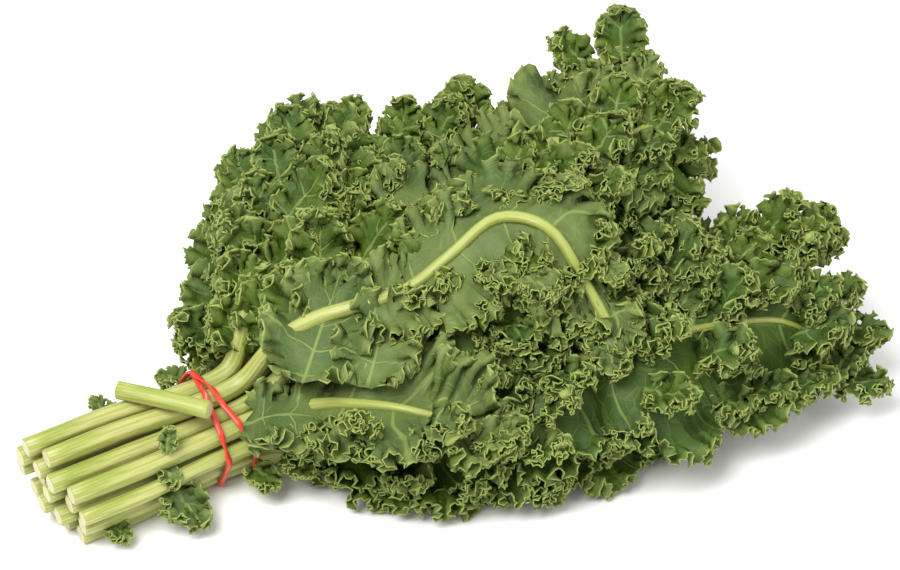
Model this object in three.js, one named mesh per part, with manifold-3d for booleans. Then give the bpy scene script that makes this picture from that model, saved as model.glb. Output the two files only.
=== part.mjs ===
// A bunch of curly kale lying on a table: cut stems in a bundle, a red rubber band round
// them twice, and the curled leaves fanned out beyond the band. Millimetres, +Z up.
// X runs along the stems from their cut ends towards the leaves, and Y across the bunch.
import * as THREE from 'three';
import { mergeVertices } from 'three/addons/utils/BufferGeometryUtils.js';
import Module from 'manifold-3d';

// Driving dimensions
const BAND_X = 110;            // the middle of the rubber band, along the stems
const BUNDLE_Y = 13;           // the middle of the bundle, across
const BUNDLE_LIFT = 7.4;       // centre of the bottom row above the table at the band
const STRAIGHT = 14;           // the stems run straight this far to both sides of BAND_X
const RESTING_END = 60;        // up to here the bottom stems lie flat on the table
const STEM_PITCH = 10.8;       // from stem to stem where the band presses them together
const ROW_RISE = 9.5;          // from one row of stems to the next one up
const SPREAD = 1.14;           // how much wider the bundle is at its cut ends
const OPENING = 0.08;          // how much wider it is where the stems part, beyond the band
const STEM_RADIUS = 4.9;
const STEM_SIDES = 7;
const STEM_GAP = 0.4;          // air kept between two stems
const SLIVER = 0.06;           // triangles flatter than this are merged away
const BLADE = 1.0;             // thickness of a blade
const CLEAR = 1.0;             // air kept between a blade and what it lies on
const BAND_WIDTH = 3.2;
const BAND_THICK = 1.1;
const BAND_GAP = 0.6;          // air kept between the band and the stems
const BAND_STEPS = 80;
const BAND_START = 1.22;       // the angle round the bundle where it crosses itself, in radians
const BAND_CROSSING = 1.8;     // how far the band is lifted where it crosses itself
const OFFCUT = { from: [67, 30], to: [97, -6], radius: 5.2 };  // a loose piece of cut stem
const MARGIN_STEPS = 24;       // points along one side of a leaf's edge, unless it says
const ROWS = [                 // rows of points from the midrib to the edge
  { share: 0.25, out: 0 },
  { share: 0.5, out: 0.42 },
  { share: 1, out: 0.78 },
  { share: 1, out: 1 },
];

const LEAF_GREEN = 0x3c6a2a;
const PALE_GREEN = 0x7f9a5c;
const STEM_GREEN = 0xb9c47c;
const BAND_RED = 0xc8432c;

// The leaves from the lowest to the top one. row and place are the stem's seat in the bundle,
// cut is where it is cut off, way is the midrib beyond the band, half is half the blade's
// width, bare is the stem from the bundle to the blade, curl is the size of the blade's
// waves, and rib says on which side the midrib stands out: +1 above, -1 below.
const LEAVES = [
  { name: 'leaf_back_low', row: 0, place: 1, cut: 24, half: 34, bare: 16, steps: 20, curl: 0.6, rib: -1,
    way: [[146, 44, 11], [168, 80, 8], [182, 112, 4]] },
  { name: 'leaf_left_low', row: 0, place: 0, cut: 26, half: 50, bare: 30, steps: 20, curl: 0.6, rib: -1,
    way: [[165, 34, 12], [225, 78, 10], [290, 118, 5]] },
  { name: 'leaf_front_low', row: 0, place: -1, cut: 28, half: 35, bare: 22, steps: 20, curl: 0.6, rib: -1,
    way: [[150, -13, 11], [186, -48, 9], [218, -80, 4]] },
  { name: 'leaf_left_back', row: 1, place: 1.5, cut: 19, half: 40, bare: 18, steps: 20, curl: 0.6, rib: -1,
    way: [[150, 50, 20], [178, 86, 24], [196, 120, 22]] },
  { name: 'leaf_mid_low', row: 1, place: -0.5, cut: 20, half: 50, bare: 60, steps: 20, curl: 0.4, rib: -1,
    way: [[190, -8, 22], [280, -40, 20], [370, -76, 8]] },
  { name: 'leaf_back_mid', row: 1, place: 0.5, cut: 17, half: 52, bare: 45, steps: 20, curl: 0.5, rib: -1,
    way: [[185, 40, 24], [262, 75, 30], [345, 100, 30]] },
  { name: 'leaf_front_right', row: 1, place: -1.5, cut: 27, half: 42, bare: 30, steps: 20, curl: 0.6,
    rib: -1, way: [[160, -30, 17], [232, -70, 14], [310, -98, 5]] },
  { name: 'leaf_left_mid', row: 2, place: 2, cut: 16, half: 44, bare: 20, curl: 0.8, rib: -1,
    way: [[150, 50, 34], [178, 86, 52], [206, 124, 62]] },
  { name: 'leaf_back_centre', row: 2.01, place: 1, cut: 21, half: 52, bare: 54, curl: 0.7, rib: -1,
    way: [[178, 33, 47], [245, 66, 66], [305, 104, 84]] },
  { name: 'leaf_right_up', row: 2, place: 0, cut: 18, half: 54, bare: 85, curl: 0.6, rib: -1,
    way: [[200, -6, 40], [300, -36, 54], [418, -66, 66]] },
  { name: 'leaf_right_lobe', row: 2, place: -1, cut: 24, half: 56, bare: 65, curl: 0.8, rib: -1,
    way: [[185, -32, 30], [285, -80, 35], [408, -108, 24]] },
  { name: 'leaf_front_small', row: 2, place: -2, cut: 25, half: 26, bare: 8, steps: 16, curl: 0.7, rib: 1,
    way: [[138, -16, 33], [154, -25, 38]] },
  { name: 'leaf_tall', row: 3.08, place: 1.5, cut: 14, half: 56, bare: 56, curl: 0.85, rib: 1,
    way: [[150, 33, 52], [226, 24, 80], [312, 31, 100], [392, 66, 108]] },
  { name: 'leaf_centre', row: 3, place: -0.5, cut: 18, half: 52, bare: 60, curl: 0.7, rib: -1,
    way: [[180, 2, 54], [255, -24, 68], [335, -58, 66]] },
  { name: 'leaf_top_right', row: 3.04, place: 0.5, cut: 17, half: 50, bare: 110, curl: 0.8, rib: -1,
    way: [[200, 12, 66], [300, 5, 84], [398, 14, 80]] },
  { name: 'leaf_front_pale', row: 3, place: -1.5, cut: 23, half: 40, bare: 16, curl: 0.9, rib: 1,
    way: [[148, -24, 48], [168, -50, 58], [188, -70, 56], [214, -88, 44]] },
  { name: 'leaf_top_left', row: 4, place: 1, cut: 15, half: 47, bare: 48, curl: 0.75, rib: -1,
    way: [[156, 50, 64], [205, 98, 80], [246, 134, 88]] },
  { name: 'leaf_arched', row: 4, place: 0, cut: 20, half: 40, bare: 62, curl: 0.9, rib: 1,
    way: [[150, 4, 58], [196, -16, 74], [250, -22, 92], [274, -58, 76], [280, -84, 60]] },
];

// Leaflets left on the stems near the cut ends: on which leaf's stem, where along it, the
// way it points and its length.
const LEAFLETS = [
  { on: 'leaf_front_low', x: 72, way: [0.25, -1, -0.1], long: 18 },
  { on: 'leaf_front_right', x: 62, way: [-0.2, -1, 0.25], long: 14 },
  { on: 'leaf_left_mid', x: 66, way: [-0.3, 1, 0.35], long: 16 },
  { on: 'leaf_front_small', x: 42, way: [0.3, -1, 0.2], long: 12 },
];

const wasm = await Module();
wasm.setup();

// Solids and meshes

// A closed geometry as a solid that can be joined and cut.
function solid(geometry) {
  const bare = geometry.clone();
  bare.deleteAttribute('normal');
  bare.deleteAttribute('uv');
  const merged = mergeVertices(bare, 1e-4);
  return new wasm.Manifold(new wasm.Mesh({
    numProp: 3,
    vertProperties: merged.attributes.position.array,
    triVerts: new Uint32Array(merged.index.array),
  }));
}

// A solid back as a geometry, without the slivers that joining leaves.
function geometryOf(manifold) {
  const mesh = manifold.simplify(SLIVER).getMesh();
  const geometry = new THREE.BufferGeometry();
  geometry.setAttribute('position', new THREE.BufferAttribute(mesh.vertProperties, 3));
  geometry.setIndex(new THREE.BufferAttribute(mesh.triVerts, 1));
  return geometry;
}

function indexed(points, faces) {
  const geometry = new THREE.BufferGeometry();
  const numbers = points.flatMap((p) => [p.x, p.y, p.z]);
  geometry.setAttribute('position', new THREE.Float32BufferAttribute(numbers, 3));
  geometry.setIndex(faces.flat());
  return geometry;
}

// A rod through the given centres with a radius at each. Its section has a flat underside,
// and wide makes it wider than it is high.
function rod(centres, radii, sides, wide = 1) {
  const points = [];
  const faces = [];
  centres.forEach((c, i) => {
    const [before, after] = [centres[Math.max(i - 1, 0)], centres[Math.min(i + 1, centres.length - 1)]];
    const along = after.clone().sub(before).normalize();
    const across = new THREE.Vector3(-along.y, along.x, 0).normalize();
    const up = along.clone().cross(across);
    for (let k = 0; k < sides; k++) {
      const a = (2 * Math.PI * (k + (sides % 2 ? 0 : 0.5))) / sides;
      points.push(c.clone()
        .addScaledVector(across, Math.sin(a) * radii[i] * wide)
        .addScaledVector(up, Math.cos(a) * radii[i]));
    }
  });
  const last = (centres.length - 1) * sides;
  for (let i = 0; i < last; i += sides) {
    for (let k = 0; k < sides; k++) {
      const n = (k + 1) % sides;
      faces.push([i + k, i + sides + n, i + n], [i + k, i + sides + k, i + sides + n]);
    }
  }
  for (let k = 1; k < sides - 1; k++) {
    faces.push([0, k, k + 1], [last, last + k + 1, last + k]);
  }
  return indexed(points, faces);
}

// A thin sheet made solid: the same triangles above and below, and a rim between them.
function thickened(points, faces, thickness) {
  const flat = indexed(points, faces);
  flat.computeVertexNormals();
  const normal = flat.attributes.normal;
  const offset = (side) => points.map((p, i) => p.clone().addScaledVector(
    new THREE.Vector3().fromBufferAttribute(normal, i), (side * thickness) / 2));
  const n = points.length;
  const all = faces.concat(faces.map(([a, b, c]) => [a + n, c + n, b + n]));
  const seen = new Set(faces.flatMap(([a, b, c]) => [`${a},${b}`, `${b},${c}`, `${c},${a}`]));
  faces.forEach(([a, b, c]) => [[a, b], [b, c], [c, a]].forEach(([from, to]) => {
    if (!seen.has(`${to},${from}`)) all.push([to, from, from + n], [to, from + n, to + n]);
  }));
  return indexed(offset(1).concat(offset(-1)), all);
}

// The pile: how high the things laid so far reach, over the table in square cells

const CELL = 2.5;
const PILE_LOW = new THREE.Vector2(-20, -190);
const PILE_COLUMNS = 200;
const PILE_ROWS = 160;
const emptyPile = () => new Float32Array(PILE_COLUMNS * PILE_ROWS).fill(-CLEAR);
const pile = emptyPile();      // blades and stems, which a blade lies over
const blades = emptyPile();    // blades alone: the stems keep clear of each other by their seats

const laidStems = [];          // points along the stems laid so far, with their radii

// Calls use(point, radius, i, t) at points a cell apart or less along a rod.
function alongRod(centres, radii, use) {
  centres.slice(1).forEach((b, i) => {
    const n = Math.ceil(Math.min(100, centres[i].distanceTo(b)) / CELL) + 1;
    for (let k = 0; k <= n; k++) {
      use(centres[i].clone().lerp(b, k / n), radii[i] + (radii[i + 1] - radii[i]) * (k / n), i, k / n);
    }
  });
}

// How far a point of a stem has to be lifted to clear the stems under it.
function shortOfStems(p, r) {
  return laidStems.reduce((short, laid) => {
    const apart = Math.hypot(p.x - laid.p.x, p.y - laid.p.y);
    const room = r + laid.r + STEM_GAP;
    return apart < room ? Math.max(short, laid.p.z + Math.sqrt(room * room - apart * apart) - p.z) : short;
  }, 0);
}

function cellOf(x, y) {
  const column = Math.floor((x - PILE_LOW.x) / CELL);
  const row = Math.floor((y - PILE_LOW.y) / CELL);
  return [column, row];
}

// The highest of the cell under a point and its neighbours.
function pileUnder(heap, x, y) {
  const [column, row] = cellOf(x, y);
  let top = -CLEAR;
  for (let j = row - 1; j <= row + 1; j++) {
    for (let i = column - 1; i <= column + 1; i++) top = Math.max(top, heap[j * PILE_COLUMNS + i]);
  }
  return top;
}

function raisePile(heap, x, y, z) {
  const [column, row] = cellOf(x, y);
  const cell = row * PILE_COLUMNS + column;
  heap[cell] = Math.max(heap[cell], z);
}

// Calls use(point, weights) at points all over a triangle, seen from above a cell apart.
function overTriangle(a, b, c, use) {
  const plan = (p, q) => Math.hypot(p.x - q.x, p.y - q.y);
  const n = Math.ceil(Math.min(60, Math.max(plan(a, b), plan(b, c), plan(c, a))) / CELL) + 1;
  for (let i = 0; i <= n; i++) {
    for (let j = 0; j <= n - i; j++) {
      const w = [1 - (i + j) / n, i / n, j / n];
      use(new THREE.Vector3()
        .addScaledVector(a, w[0]).addScaledVector(b, w[1]).addScaledVector(c, w[2]), w);
    }
  }
}

// A leaf: a stem in the bundle, a midrib and a blade with lobed, crinkled edges

const LOBES = 5;               // lobes on each side of a leaf
const WAVES = 8;               // up and down waves along each side
const CLIMB = 0.55;            // how steeply a leaf may be lifted over what is under it
const LIFT_ROUNDS = 30;
const LIFT_STEP = 4;           // the most that one round lifts a point
const STEEP = 1.6;             // a blade's upright thickness where it is steep, in thicknesses
const PARTED = 9;              // the stems are kept apart by lifting from here beyond the bend
const STEM_TAPER = 0.22;       // how much thinner a stem gets up to the blade
const RIB_THICK = 0.74;        // the midrib's thickness where it starts, in stem radii
const RIB_TAPER = 0.52;        // how much thinner it gets up to its tip
const RIB_OUT = 0.45;          // how far the midrib's middle is off the blade, in its radii

function seat(leaf, spread) {
  return [BUNDLE_Y + leaf.place * STEM_PITCH * spread, BUNDLE_LIFT + leaf.row * ROW_RISE * spread];
}

// The stem's stations from the cut end to where it leaves the bundle, and its line beyond.
function centreLine(leaf) {
  const [cutY, cutZ] = seat(leaf, SPREAD);
  const [y, z] = seat(leaf, 1);
  const [heldY, heldZ] = seat(leaf, 1 + OPENING / 2);
  const [openY, openZ] = seat(leaf, 1 + OPENING);
  const restZ = cutZ - BUNDLE_LIFT + STEM_RADIUS * Math.cos(Math.PI / STEM_SIDES);
  const bundled = [[leaf.cut, cutY, restZ], [RESTING_END, cutY, restZ], [BAND_X - STRAIGHT, y, z]];
  const bend = BAND_X + STRAIGHT;
  const beyond = [[BAND_X, heldY, heldZ], [bend, openY, openZ], ...leaf.way];
  const [stations, knots] = [bundled, beyond].map((list) => list.map((p) => new THREE.Vector3(...p)));
  const curve = new THREE.CatmullRomCurve3(knots, false, 'centripetal');
  const bendAt = curve.getSpacedPoints(400).findIndex((p) => p.x >= bend - 0.01) / 400;
  return { curve, stations, bendAt, start: bendAt + leaf.bare / curve.getLength() };
}

// How far the blade reaches from its midrib at a share q of its length, and which way.
function reach(leaf, q) {
  const round = 2 * Math.PI * LOBES * (q + 0.02);
  const outline = 0.14 + 0.86 * Math.sin(Math.PI * q ** 0.8) ** 0.65;
  const long = leaf.half * outline * (0.86 - 0.14 * Math.cos(round));
  const turn = (78 * (1 - q ** 2.4) + 16 * Math.sin(round) * (1 - q)) * (Math.PI / 180);
  return { long, turn };
}

// The wave of the blade off its own plane, growing towards the edge.
function wave(leaf, q, out, step, side) {
  const size = leaf.curl * Math.min(1, 0.15 + 3 * q) * (leaf.half / 50);
  const slow = 7 * Math.sin(2 * Math.PI * WAVES * q + side + leaf.half);
  const crinkle = out === 1 ? 3 * (step % 2 ? 1 : -1) : 0;
  return size * (slow * out * out + crinkle);
}

// A leaf's points before it is laid on the pile: the midrib's and the blade's.
function shapeLeaf(leaf) {
  const { curve, stations, bendAt, start } = centreLine(leaf);
  const steps = leaf.steps ?? MARGIN_STEPS;
  const points = [];
  const free = Math.max(1, Math.round(leaf.bare / 18));
  for (let i = 0; i <= free; i++) {
    stations.push(curve.getPointAt(bendAt + (start - bendAt) * (i / free) * 0.998));
  }
  const stem = stations.map((p) => points.push(p) - 1);
  const at = new Map();
  const place = (side, row, i) => at.get(`${row ? side : 0},${row},${i}`);
  ROWS.forEach((row, r) => {
    const count = steps * row.share;
    for (const side of r ? [1, -1] : [0]) {
      for (let i = 0; i <= count; i++) {
        const q = i / count;
        if (r && i === count && side < 0) {
          at.set(`${side},${r},${i}`, place(1, r, i));
          continue;
        }
        const s = start + (1 - start) * q * 0.995;
        const foot = curve.getPointAt(s);
        const along = curve.getTangentAt(s);
        const across = new THREE.Vector3(-along.y, along.x, 0).normalize();
        const { long, turn } = reach(leaf, q);
        const p = foot.clone()
          .addScaledVector(along, Math.cos(turn) * long * row.out)
          .addScaledVector(across, side * Math.sin(turn) * long * row.out);
        p.z += wave(leaf, q, row.out, Math.round(q * steps), side);
        at.set(`${side},${r},${i}`, points.length);
        points.push(p);
      }
    }
  });
  const faces = [];
  for (let r = 0; r < ROWS.length - 1; r++) {
    const count = steps * ROWS[r].share;
    const finer = ROWS[r + 1].share / ROWS[r].share;
    for (const side of [1, -1]) {
      const add = (a, b, c) => faces.push(side > 0 ? [a, c, b] : [a, b, c]);
      for (let i = 0; i < count; i++) {
        const [a, b] = [place(side, r, i), place(side, r, i + 1)];
        const o = (k) => place(side, r + 1, i * finer + k);
        if (finer === 2) {
          add(a, o(0), o(1));
          add(a, o(1), b);
          add(b, o(1), o(2));
        } else if (i % 2) {
          add(a, o(0), o(1));
          add(a, o(1), b);
        } else {
          add(a, o(0), b);
          add(b, o(0), o(1));
        }
      }
    }
  }
  const rib = Array.from({ length: steps * ROWS[0].share + 1 }, (_, i) => place(0, 0, i));
  return { points, faces, stem, rib };
}

// The stem's radius at a share of its rods, from the cut end to the tip of the midrib.
function stemRadii(leaf, shape) {
  const base = STEM_RADIUS * (leaf.half < 30 ? 0.85 : 1);
  const n = shape.rib.length - 1;
  const last = shape.stem.length - 1;
  return shape.stem.map((_, i) => base * (i < 4 ? 1 : 1 - STEM_TAPER * ((i - 3) / (last - 3))))
    .concat(shape.rib.slice(1).map((_, i) => base * (RIB_THICK - RIB_TAPER * ((i + 1) / n))));
}

// Lays a leaf on the pile: lifts its points until nothing is under it, with no sudden step.
function layDown(leaf, shape, radii) {
  const { points, faces } = shape;
  const core = [...shape.stem, ...shape.rib.slice(1)];
  const bend = BAND_X + STRAIGHT;
  const free = points.map((p) => p.x > bend + 1);
  const edges = faces.flatMap(([a, b, c]) => [[a, b], [b, c], [c, a]])
    .concat(core.slice(1).map((b, i) => [core[i], b]));
  const spans = edges.map(([a, b]) => Math.hypot(points[a].x - points[b].x, points[a].y - points[b].y));
  const ribShift = (i) => leaf.rib * radii[i] * (i < shape.stem.length ? 0 : RIB_OUT);
  const centreOf = (i) => points[core[i]].clone().add(new THREE.Vector3(0, 0, ribShift(i)));
  for (let round = 0; round < LIFT_ROUNDS; round++) {
    const lift = points.map(() => 0);
    const raise = (short, indices, weights) => {
      if (short > 0.02) indices.forEach((v, k) => {
        if (weights[k] > 0.05 && free[v]) lift[v] = Math.max(lift[v], Math.min(short, LIFT_STEP));
      });
    };
    faces.forEach((f) => overTriangle(...f.map((v) => points[v]), (p, w) => {
      if (p.x > bend) raise(pileUnder(pile, p.x, p.y) + CLEAR - p.z + (BLADE * STEEP) / 2, f, w);
    }));
    alongRod(core.map((_, i) => centreOf(i)), radii, (p, r, i, t) => {
      if (p.x < bend + PARTED) return;
      const short = Math.max(shortOfStems(p, r), ...[-0.7, 0, 0.7].map((aside) => (
        pileUnder(blades, p.x, p.y + aside * r) + CLEAR - p.z + r)));
      raise(short, [core[i], core[i + 1]], [1 - t, t]);
    });
    if (!lift.some((l) => l > 0)) break;
    for (let sweep = 0; sweep < 12; sweep++) {
      edges.forEach(([a, b], k) => {
        if (free[a]) lift[a] = Math.max(lift[a], lift[b] - CLIMB * spans[k]);
        if (free[b]) lift[b] = Math.max(lift[b], lift[a] - CLIMB * spans[k]);
      });
    }
    points.forEach((p, i) => { p.z += lift[i]; });
  }
  faces.forEach((f) => overTriangle(...f.map((v) => points[v]), (p) => {
    for (const heap of [pile, blades]) raisePile(heap, p.x, p.y, p.z + (BLADE * STEEP) / 2);
  }));
  const centres = core.map((_, i) => centreOf(i));
  alongRod(centres, radii, (p, r) => {
    laidStems.push({ p, r });
    for (const aside of [-0.8, -0.4, 0, 0.4, 0.8]) raisePile(pile, p.x, p.y + aside * r, p.z + r);
  });
  return centres;
}

// A small lobed sheet growing out of a stem.
function leaflet({ x, way, long }, centres) {
  const after = centres.findIndex((c) => c.x > x);
  const [a, b] = [centres[after - 1], centres[after]];
  const root = a.clone().lerp(b, (x - a.x) / (b.x - a.x));
  const out = new THREE.Vector3(...way).normalize();
  const flat = out.clone().cross(new THREE.Vector3(0, 0, 1)).normalize();
  const points = [root, root.clone().addScaledVector(out, long * 0.6)];
  const edge = [-1, -0.7, -0.35, 0, 0.35, 0.7, 1];
  edge.forEach((k, i) => {
    points.push(root.clone()
      .addScaledVector(out, long * (1 - 0.45 * k * k))
      .addScaledVector(flat, long * 0.5 * k)
      .add(new THREE.Vector3(0, 0, 0.09 * long * (i % 2 ? 1 : -1))));
  });
  const faces = edge.slice(1).map((_, i) => [1, i + 2, i + 3]);
  faces.push([0, 2, 1], [0, 1, edge.length + 1]);
  const low = STEM_RADIUS * 0.2 - Math.min(...points.map((p) => p.z));
  points.slice(1).forEach((p) => { p.z += Math.max(0, low); });
  return solid(thickened(points, faces, BLADE));
}

function makeLeaf(leaf) {
  const shape = shapeLeaf(leaf);
  const radii = stemRadii(leaf, shape);
  const centres = layDown(leaf, shape, radii);
  const extras = LEAFLETS.filter(({ on }) => on === leaf.name).map((each) => leaflet(each, centres));
  return extras.reduce((whole, each) => whole.add(each),
    solid(rod(centres, radii, STEM_SIDES)).add(solid(thickened(shape.points, shape.faces, BLADE))));
}

// The rubber band: a flat loop drawn tight over the bundle's outline, twice round

function makeBand() {
  const middle = new THREE.Vector2(BUNDLE_Y, BUNDLE_LIFT + 1.8 * ROW_RISE);
  const angles = Array.from({ length: 180 }, (_, i) => (i * Math.PI) / 90);
  const facing = angles.map((angle) => new THREE.Vector2(Math.cos(angle), Math.sin(angle)));
  const outline = (angle, spread) => {
    const stems = LEAVES.map((leaf) => new THREE.Vector2(...seat(leaf, spread)).sub(middle));
    return Math.min(...angles.map((other, i) => {
      const lean = Math.cos(angle - other);
      return lean > 0.2 ? (Math.max(...stems.map((c) => c.dot(facing[i]))) + STEM_RADIUS) / lean : Infinity;
    }));
  };
  const at = (k) => {
    const turn = (2 * k) / BAND_STEPS;
    const angle = BAND_START + turn * 2 * Math.PI;
    const crossing = Math.max(0, Math.min(1, 2.2 - Math.abs(turn - 1) * 18));
    const x = BAND_X - 2 - 9 * Math.sin(Math.PI * turn) - 3 * Math.cos(2 * Math.PI * turn);
    const spread = 1 + OPENING * Math.max(0, (x - BAND_X + STRAIGHT) / (2 * STRAIGHT));
    const radius = outline(angle, spread) + BAND_GAP + BAND_THICK / 2 + BAND_CROSSING * crossing;
    return new THREE.Vector3(x, middle.x + radius * Math.cos(angle), middle.y + radius * Math.sin(angle));
  };
  const points = [];
  const faces = [];
  for (let k = 0; k < BAND_STEPS; k++) {
    const centre = at(k);
    const along = at(k + 1).sub(at(k - 1)).normalize();
    const out = along.clone().cross(new THREE.Vector3(1, 0, 0)).normalize();
    const wide = out.clone().cross(along);
    for (const [w, t] of [[-1, -1], [1, -1], [1, 1], [-1, 1]]) {
      points.push(centre.clone()
        .addScaledVector(wide, (w * BAND_WIDTH) / 2)
        .addScaledVector(out, (t * BAND_THICK) / 2));
    }
    for (let c = 0; c < 4; c++) {
      const [a, b] = [4 * k + c, 4 * k + ((c + 1) % 4)];
      const ahead = (v) => (v + 4) % (4 * BAND_STEPS);
      faces.push([a, b, ahead(b)], [a, ahead(b), ahead(a)]);
    }
  }
  return solid(indexed(points, faces));
}

// The loose piece of stem lies across the bundle
function makeOffcut() {
  const { from, to, radius } = OFFCUT;
  const ends = [from, to].map(([x, y]) => new THREE.Vector3(x, y, 0));
  const radii = [radius, radius];
  let lift = 0;
  alongRod(ends, radii, (p, r) => { lift = Math.max(lift, shortOfStems(p, r)); });
  ends.forEach((p) => { p.z = lift; });
  return solid(rod(ends, radii, STEM_SIDES));
}

const materials = {
  leaf: new THREE.MeshStandardMaterial({ color: LEAF_GREEN, roughness: 0.6, metalness: 0 }),
  pale: new THREE.MeshStandardMaterial({ color: PALE_GREEN, roughness: 0.6, metalness: 0 }),
  stem: new THREE.MeshStandardMaterial({ color: STEM_GREEN, roughness: 0.5, metalness: 0 }),
  band: new THREE.MeshStandardMaterial({ color: BAND_RED, roughness: 0.4, metalness: 0 }),
};
const solids = LEAVES.map((leaf) => (
  [leaf.name, makeLeaf(leaf), leaf.rib > 0 ? materials.pale : materials.leaf]));
solids.push(['rubber_band', makeBand(), materials.band]);
solids.push(['stem_offcut', makeOffcut(), materials.stem]);

// The whole stands on z = 0 with its middle over the origin
const boxes = solids.map(([, shape]) => shape.boundingBox());
const low = [0, 1, 2].map((i) => Math.min(...boxes.map((box) => box.min[i])));
const high = [0, 1, 2].map((i) => Math.max(...boxes.map((box) => box.max[i])));
const shift = [-(low[0] + high[0]) / 2, -(low[1] + high[1]) / 2, -low[2]];
const bunch = new THREE.Group();
for (const [name, shape, material] of solids) {
  const mesh = new THREE.Mesh(geometryOf(shape.translate(shift)), material);
  mesh.name = name;
  bunch.add(mesh);
}

export default bunch;
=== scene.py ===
"""A bunch of curly kale lying on a pale table: ribbed stems held by a twisted red rubber band,
and frilled leaves fanned out beyond it.

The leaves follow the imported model: their stems and blades are laid through the heights
measured on its nodes, and the frills are worked into the blades from coarse to fine.
"""

from __future__ import annotations

import logging
import sys
from dataclasses import dataclass, field
from enum import Enum
from typing import Any, Sequence

import bpy
import numpy as np
from mathutils import Matrix, Vector
from mathutils.bvhtree import BVHTree

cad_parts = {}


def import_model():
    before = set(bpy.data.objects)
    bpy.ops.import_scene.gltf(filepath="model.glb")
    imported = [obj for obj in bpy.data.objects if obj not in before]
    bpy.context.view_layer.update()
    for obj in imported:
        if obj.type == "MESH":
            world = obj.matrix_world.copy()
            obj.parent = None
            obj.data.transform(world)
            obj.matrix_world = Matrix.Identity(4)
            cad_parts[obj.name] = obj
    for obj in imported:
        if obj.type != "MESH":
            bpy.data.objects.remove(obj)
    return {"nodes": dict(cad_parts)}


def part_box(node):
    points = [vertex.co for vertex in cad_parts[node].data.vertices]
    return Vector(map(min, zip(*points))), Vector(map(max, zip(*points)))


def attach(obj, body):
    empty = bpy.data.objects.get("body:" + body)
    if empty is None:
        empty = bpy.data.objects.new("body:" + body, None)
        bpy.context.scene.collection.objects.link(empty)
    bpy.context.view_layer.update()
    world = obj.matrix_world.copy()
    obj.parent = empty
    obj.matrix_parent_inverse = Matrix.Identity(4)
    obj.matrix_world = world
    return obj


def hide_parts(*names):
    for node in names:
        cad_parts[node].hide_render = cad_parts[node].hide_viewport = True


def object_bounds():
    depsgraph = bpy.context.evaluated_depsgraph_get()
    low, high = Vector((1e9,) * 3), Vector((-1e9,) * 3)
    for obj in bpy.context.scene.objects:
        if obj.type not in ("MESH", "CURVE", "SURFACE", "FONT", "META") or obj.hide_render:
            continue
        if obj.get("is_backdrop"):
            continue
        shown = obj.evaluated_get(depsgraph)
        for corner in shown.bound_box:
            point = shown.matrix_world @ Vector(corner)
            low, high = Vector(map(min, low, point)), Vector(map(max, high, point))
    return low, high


LOG = logging.getLogger("kale")
MM = 0.001

# The bunch, in millimetres along X from the cut ends, across Y, and up
BAND_X = 110.0
BUNDLE_Y = 13.0
BUNDLE_LIFT = 7.4
STRAIGHT = 14.0
RESTING_END = 60.0
STEM_PITCH = 10.8
ROW_RISE = 9.5
SPREAD = 1.14
OPENING = 0.08
STEM_RADIUS = 4.9
FLAT_SIDE = float(np.cos(np.pi / 7))
LOBES = 5
WAVES = 8
OFFCUT_FROM = (67.0, 30.0)
OFFCUT_TO = (97.0, -6.0)
OFFCUT_MIDDLE = (82.0, 12.3)
OFFCUT_BOW = 0.3
OFFCUT_RADIUS = 5.2
OFFCUT_SLIM = 4.5
BAND_START = 1.22
BAND_GAP = 0.45
BAND_WIDTH = 2.9
BAND_THICK = 1.1

# The stems' taper and their midribs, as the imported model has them
STEM_TAPER = 0.22
RIB_THICK = 0.74
RIB_TAPER = 0.52
RIB_OUT = 0.45
SLIM_STEM = 0.85
SMALL_LEAF = 30
BARE_STEP = 18
FIXED_STATIONS = 3

# The blades: the node's rows of points, its waves, and the fine sheet
NODE_ROWS = (0.42, 0.78, 1.0)
USUAL_HALF = 50
WAVE_HEIGHT = 7
CRINKLE = 3
POINT_APART = 0.62
WAVE_GAIN = 1.15
WAVE_LEAN = 0.55
WAVE_FADE = 30
SHEET = 0.45
VEIN_STEP = 24.0

# The lobes, and the teeth along every edge
LOBE_COLUMNS = 288
LOBE_VEINS = 1.8
LOBE_WIDE = 0.52
LOBE_WAVES = 2.6
LOBE_WAVE_HEIGHT = 0.16
LOBE_SWING = 35
LOBE_TILT = 15
USUAL_LOBE = 24
TOOTH_LENGTH = 3.4
TOOTH_DEPTH = 2.2
TOOTH_CURL_DEPTH = 3.0

# Where the bunch meets the table and how high it may rise, in millimetres
REST_SOFT = 2.5
TOP = 131.0
TOP_SOFT = 9.0

# The first seed of each kind of piece
LEAF_SEED = 100
STEM_SEED = 300
SPRIG_SEED = 500
OFFCUT_SEED = 77


class Tone(Enum):
    """Which side of a leaf faces up."""

    UPPER = 0
    UNDER = 1


@dataclass(frozen=True)
class LeafPlan:
    """Where a leaf's stem sits in the bundle, where its midrib runs and how large it is.

    row and place are the stem's seat and cut is where it ends. half is half the blade's width,
    bare the bare stem past the band, curl the size of the large waves. rib is +1 where the
    midrib stands out above and -1 where it lies below, and way is its line. steps are the
    node's steps along the blade, columns those of the fine one. rib_least is the midrib's
    least radius.
    """

    name: str
    row: float
    place: float
    cut: float
    half: float
    bare: float
    curl: float
    rib: int
    way: tuple[tuple[float, float, float], ...]
    steps: int = 24
    columns: int = 1408
    rib_least: float = 0.0

    @property
    def tone(self) -> Tone:
        """The side that faces up: the under side where the midrib stands out above."""
        return Tone.UNDER if self.rib > 0 else Tone.UPPER


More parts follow.
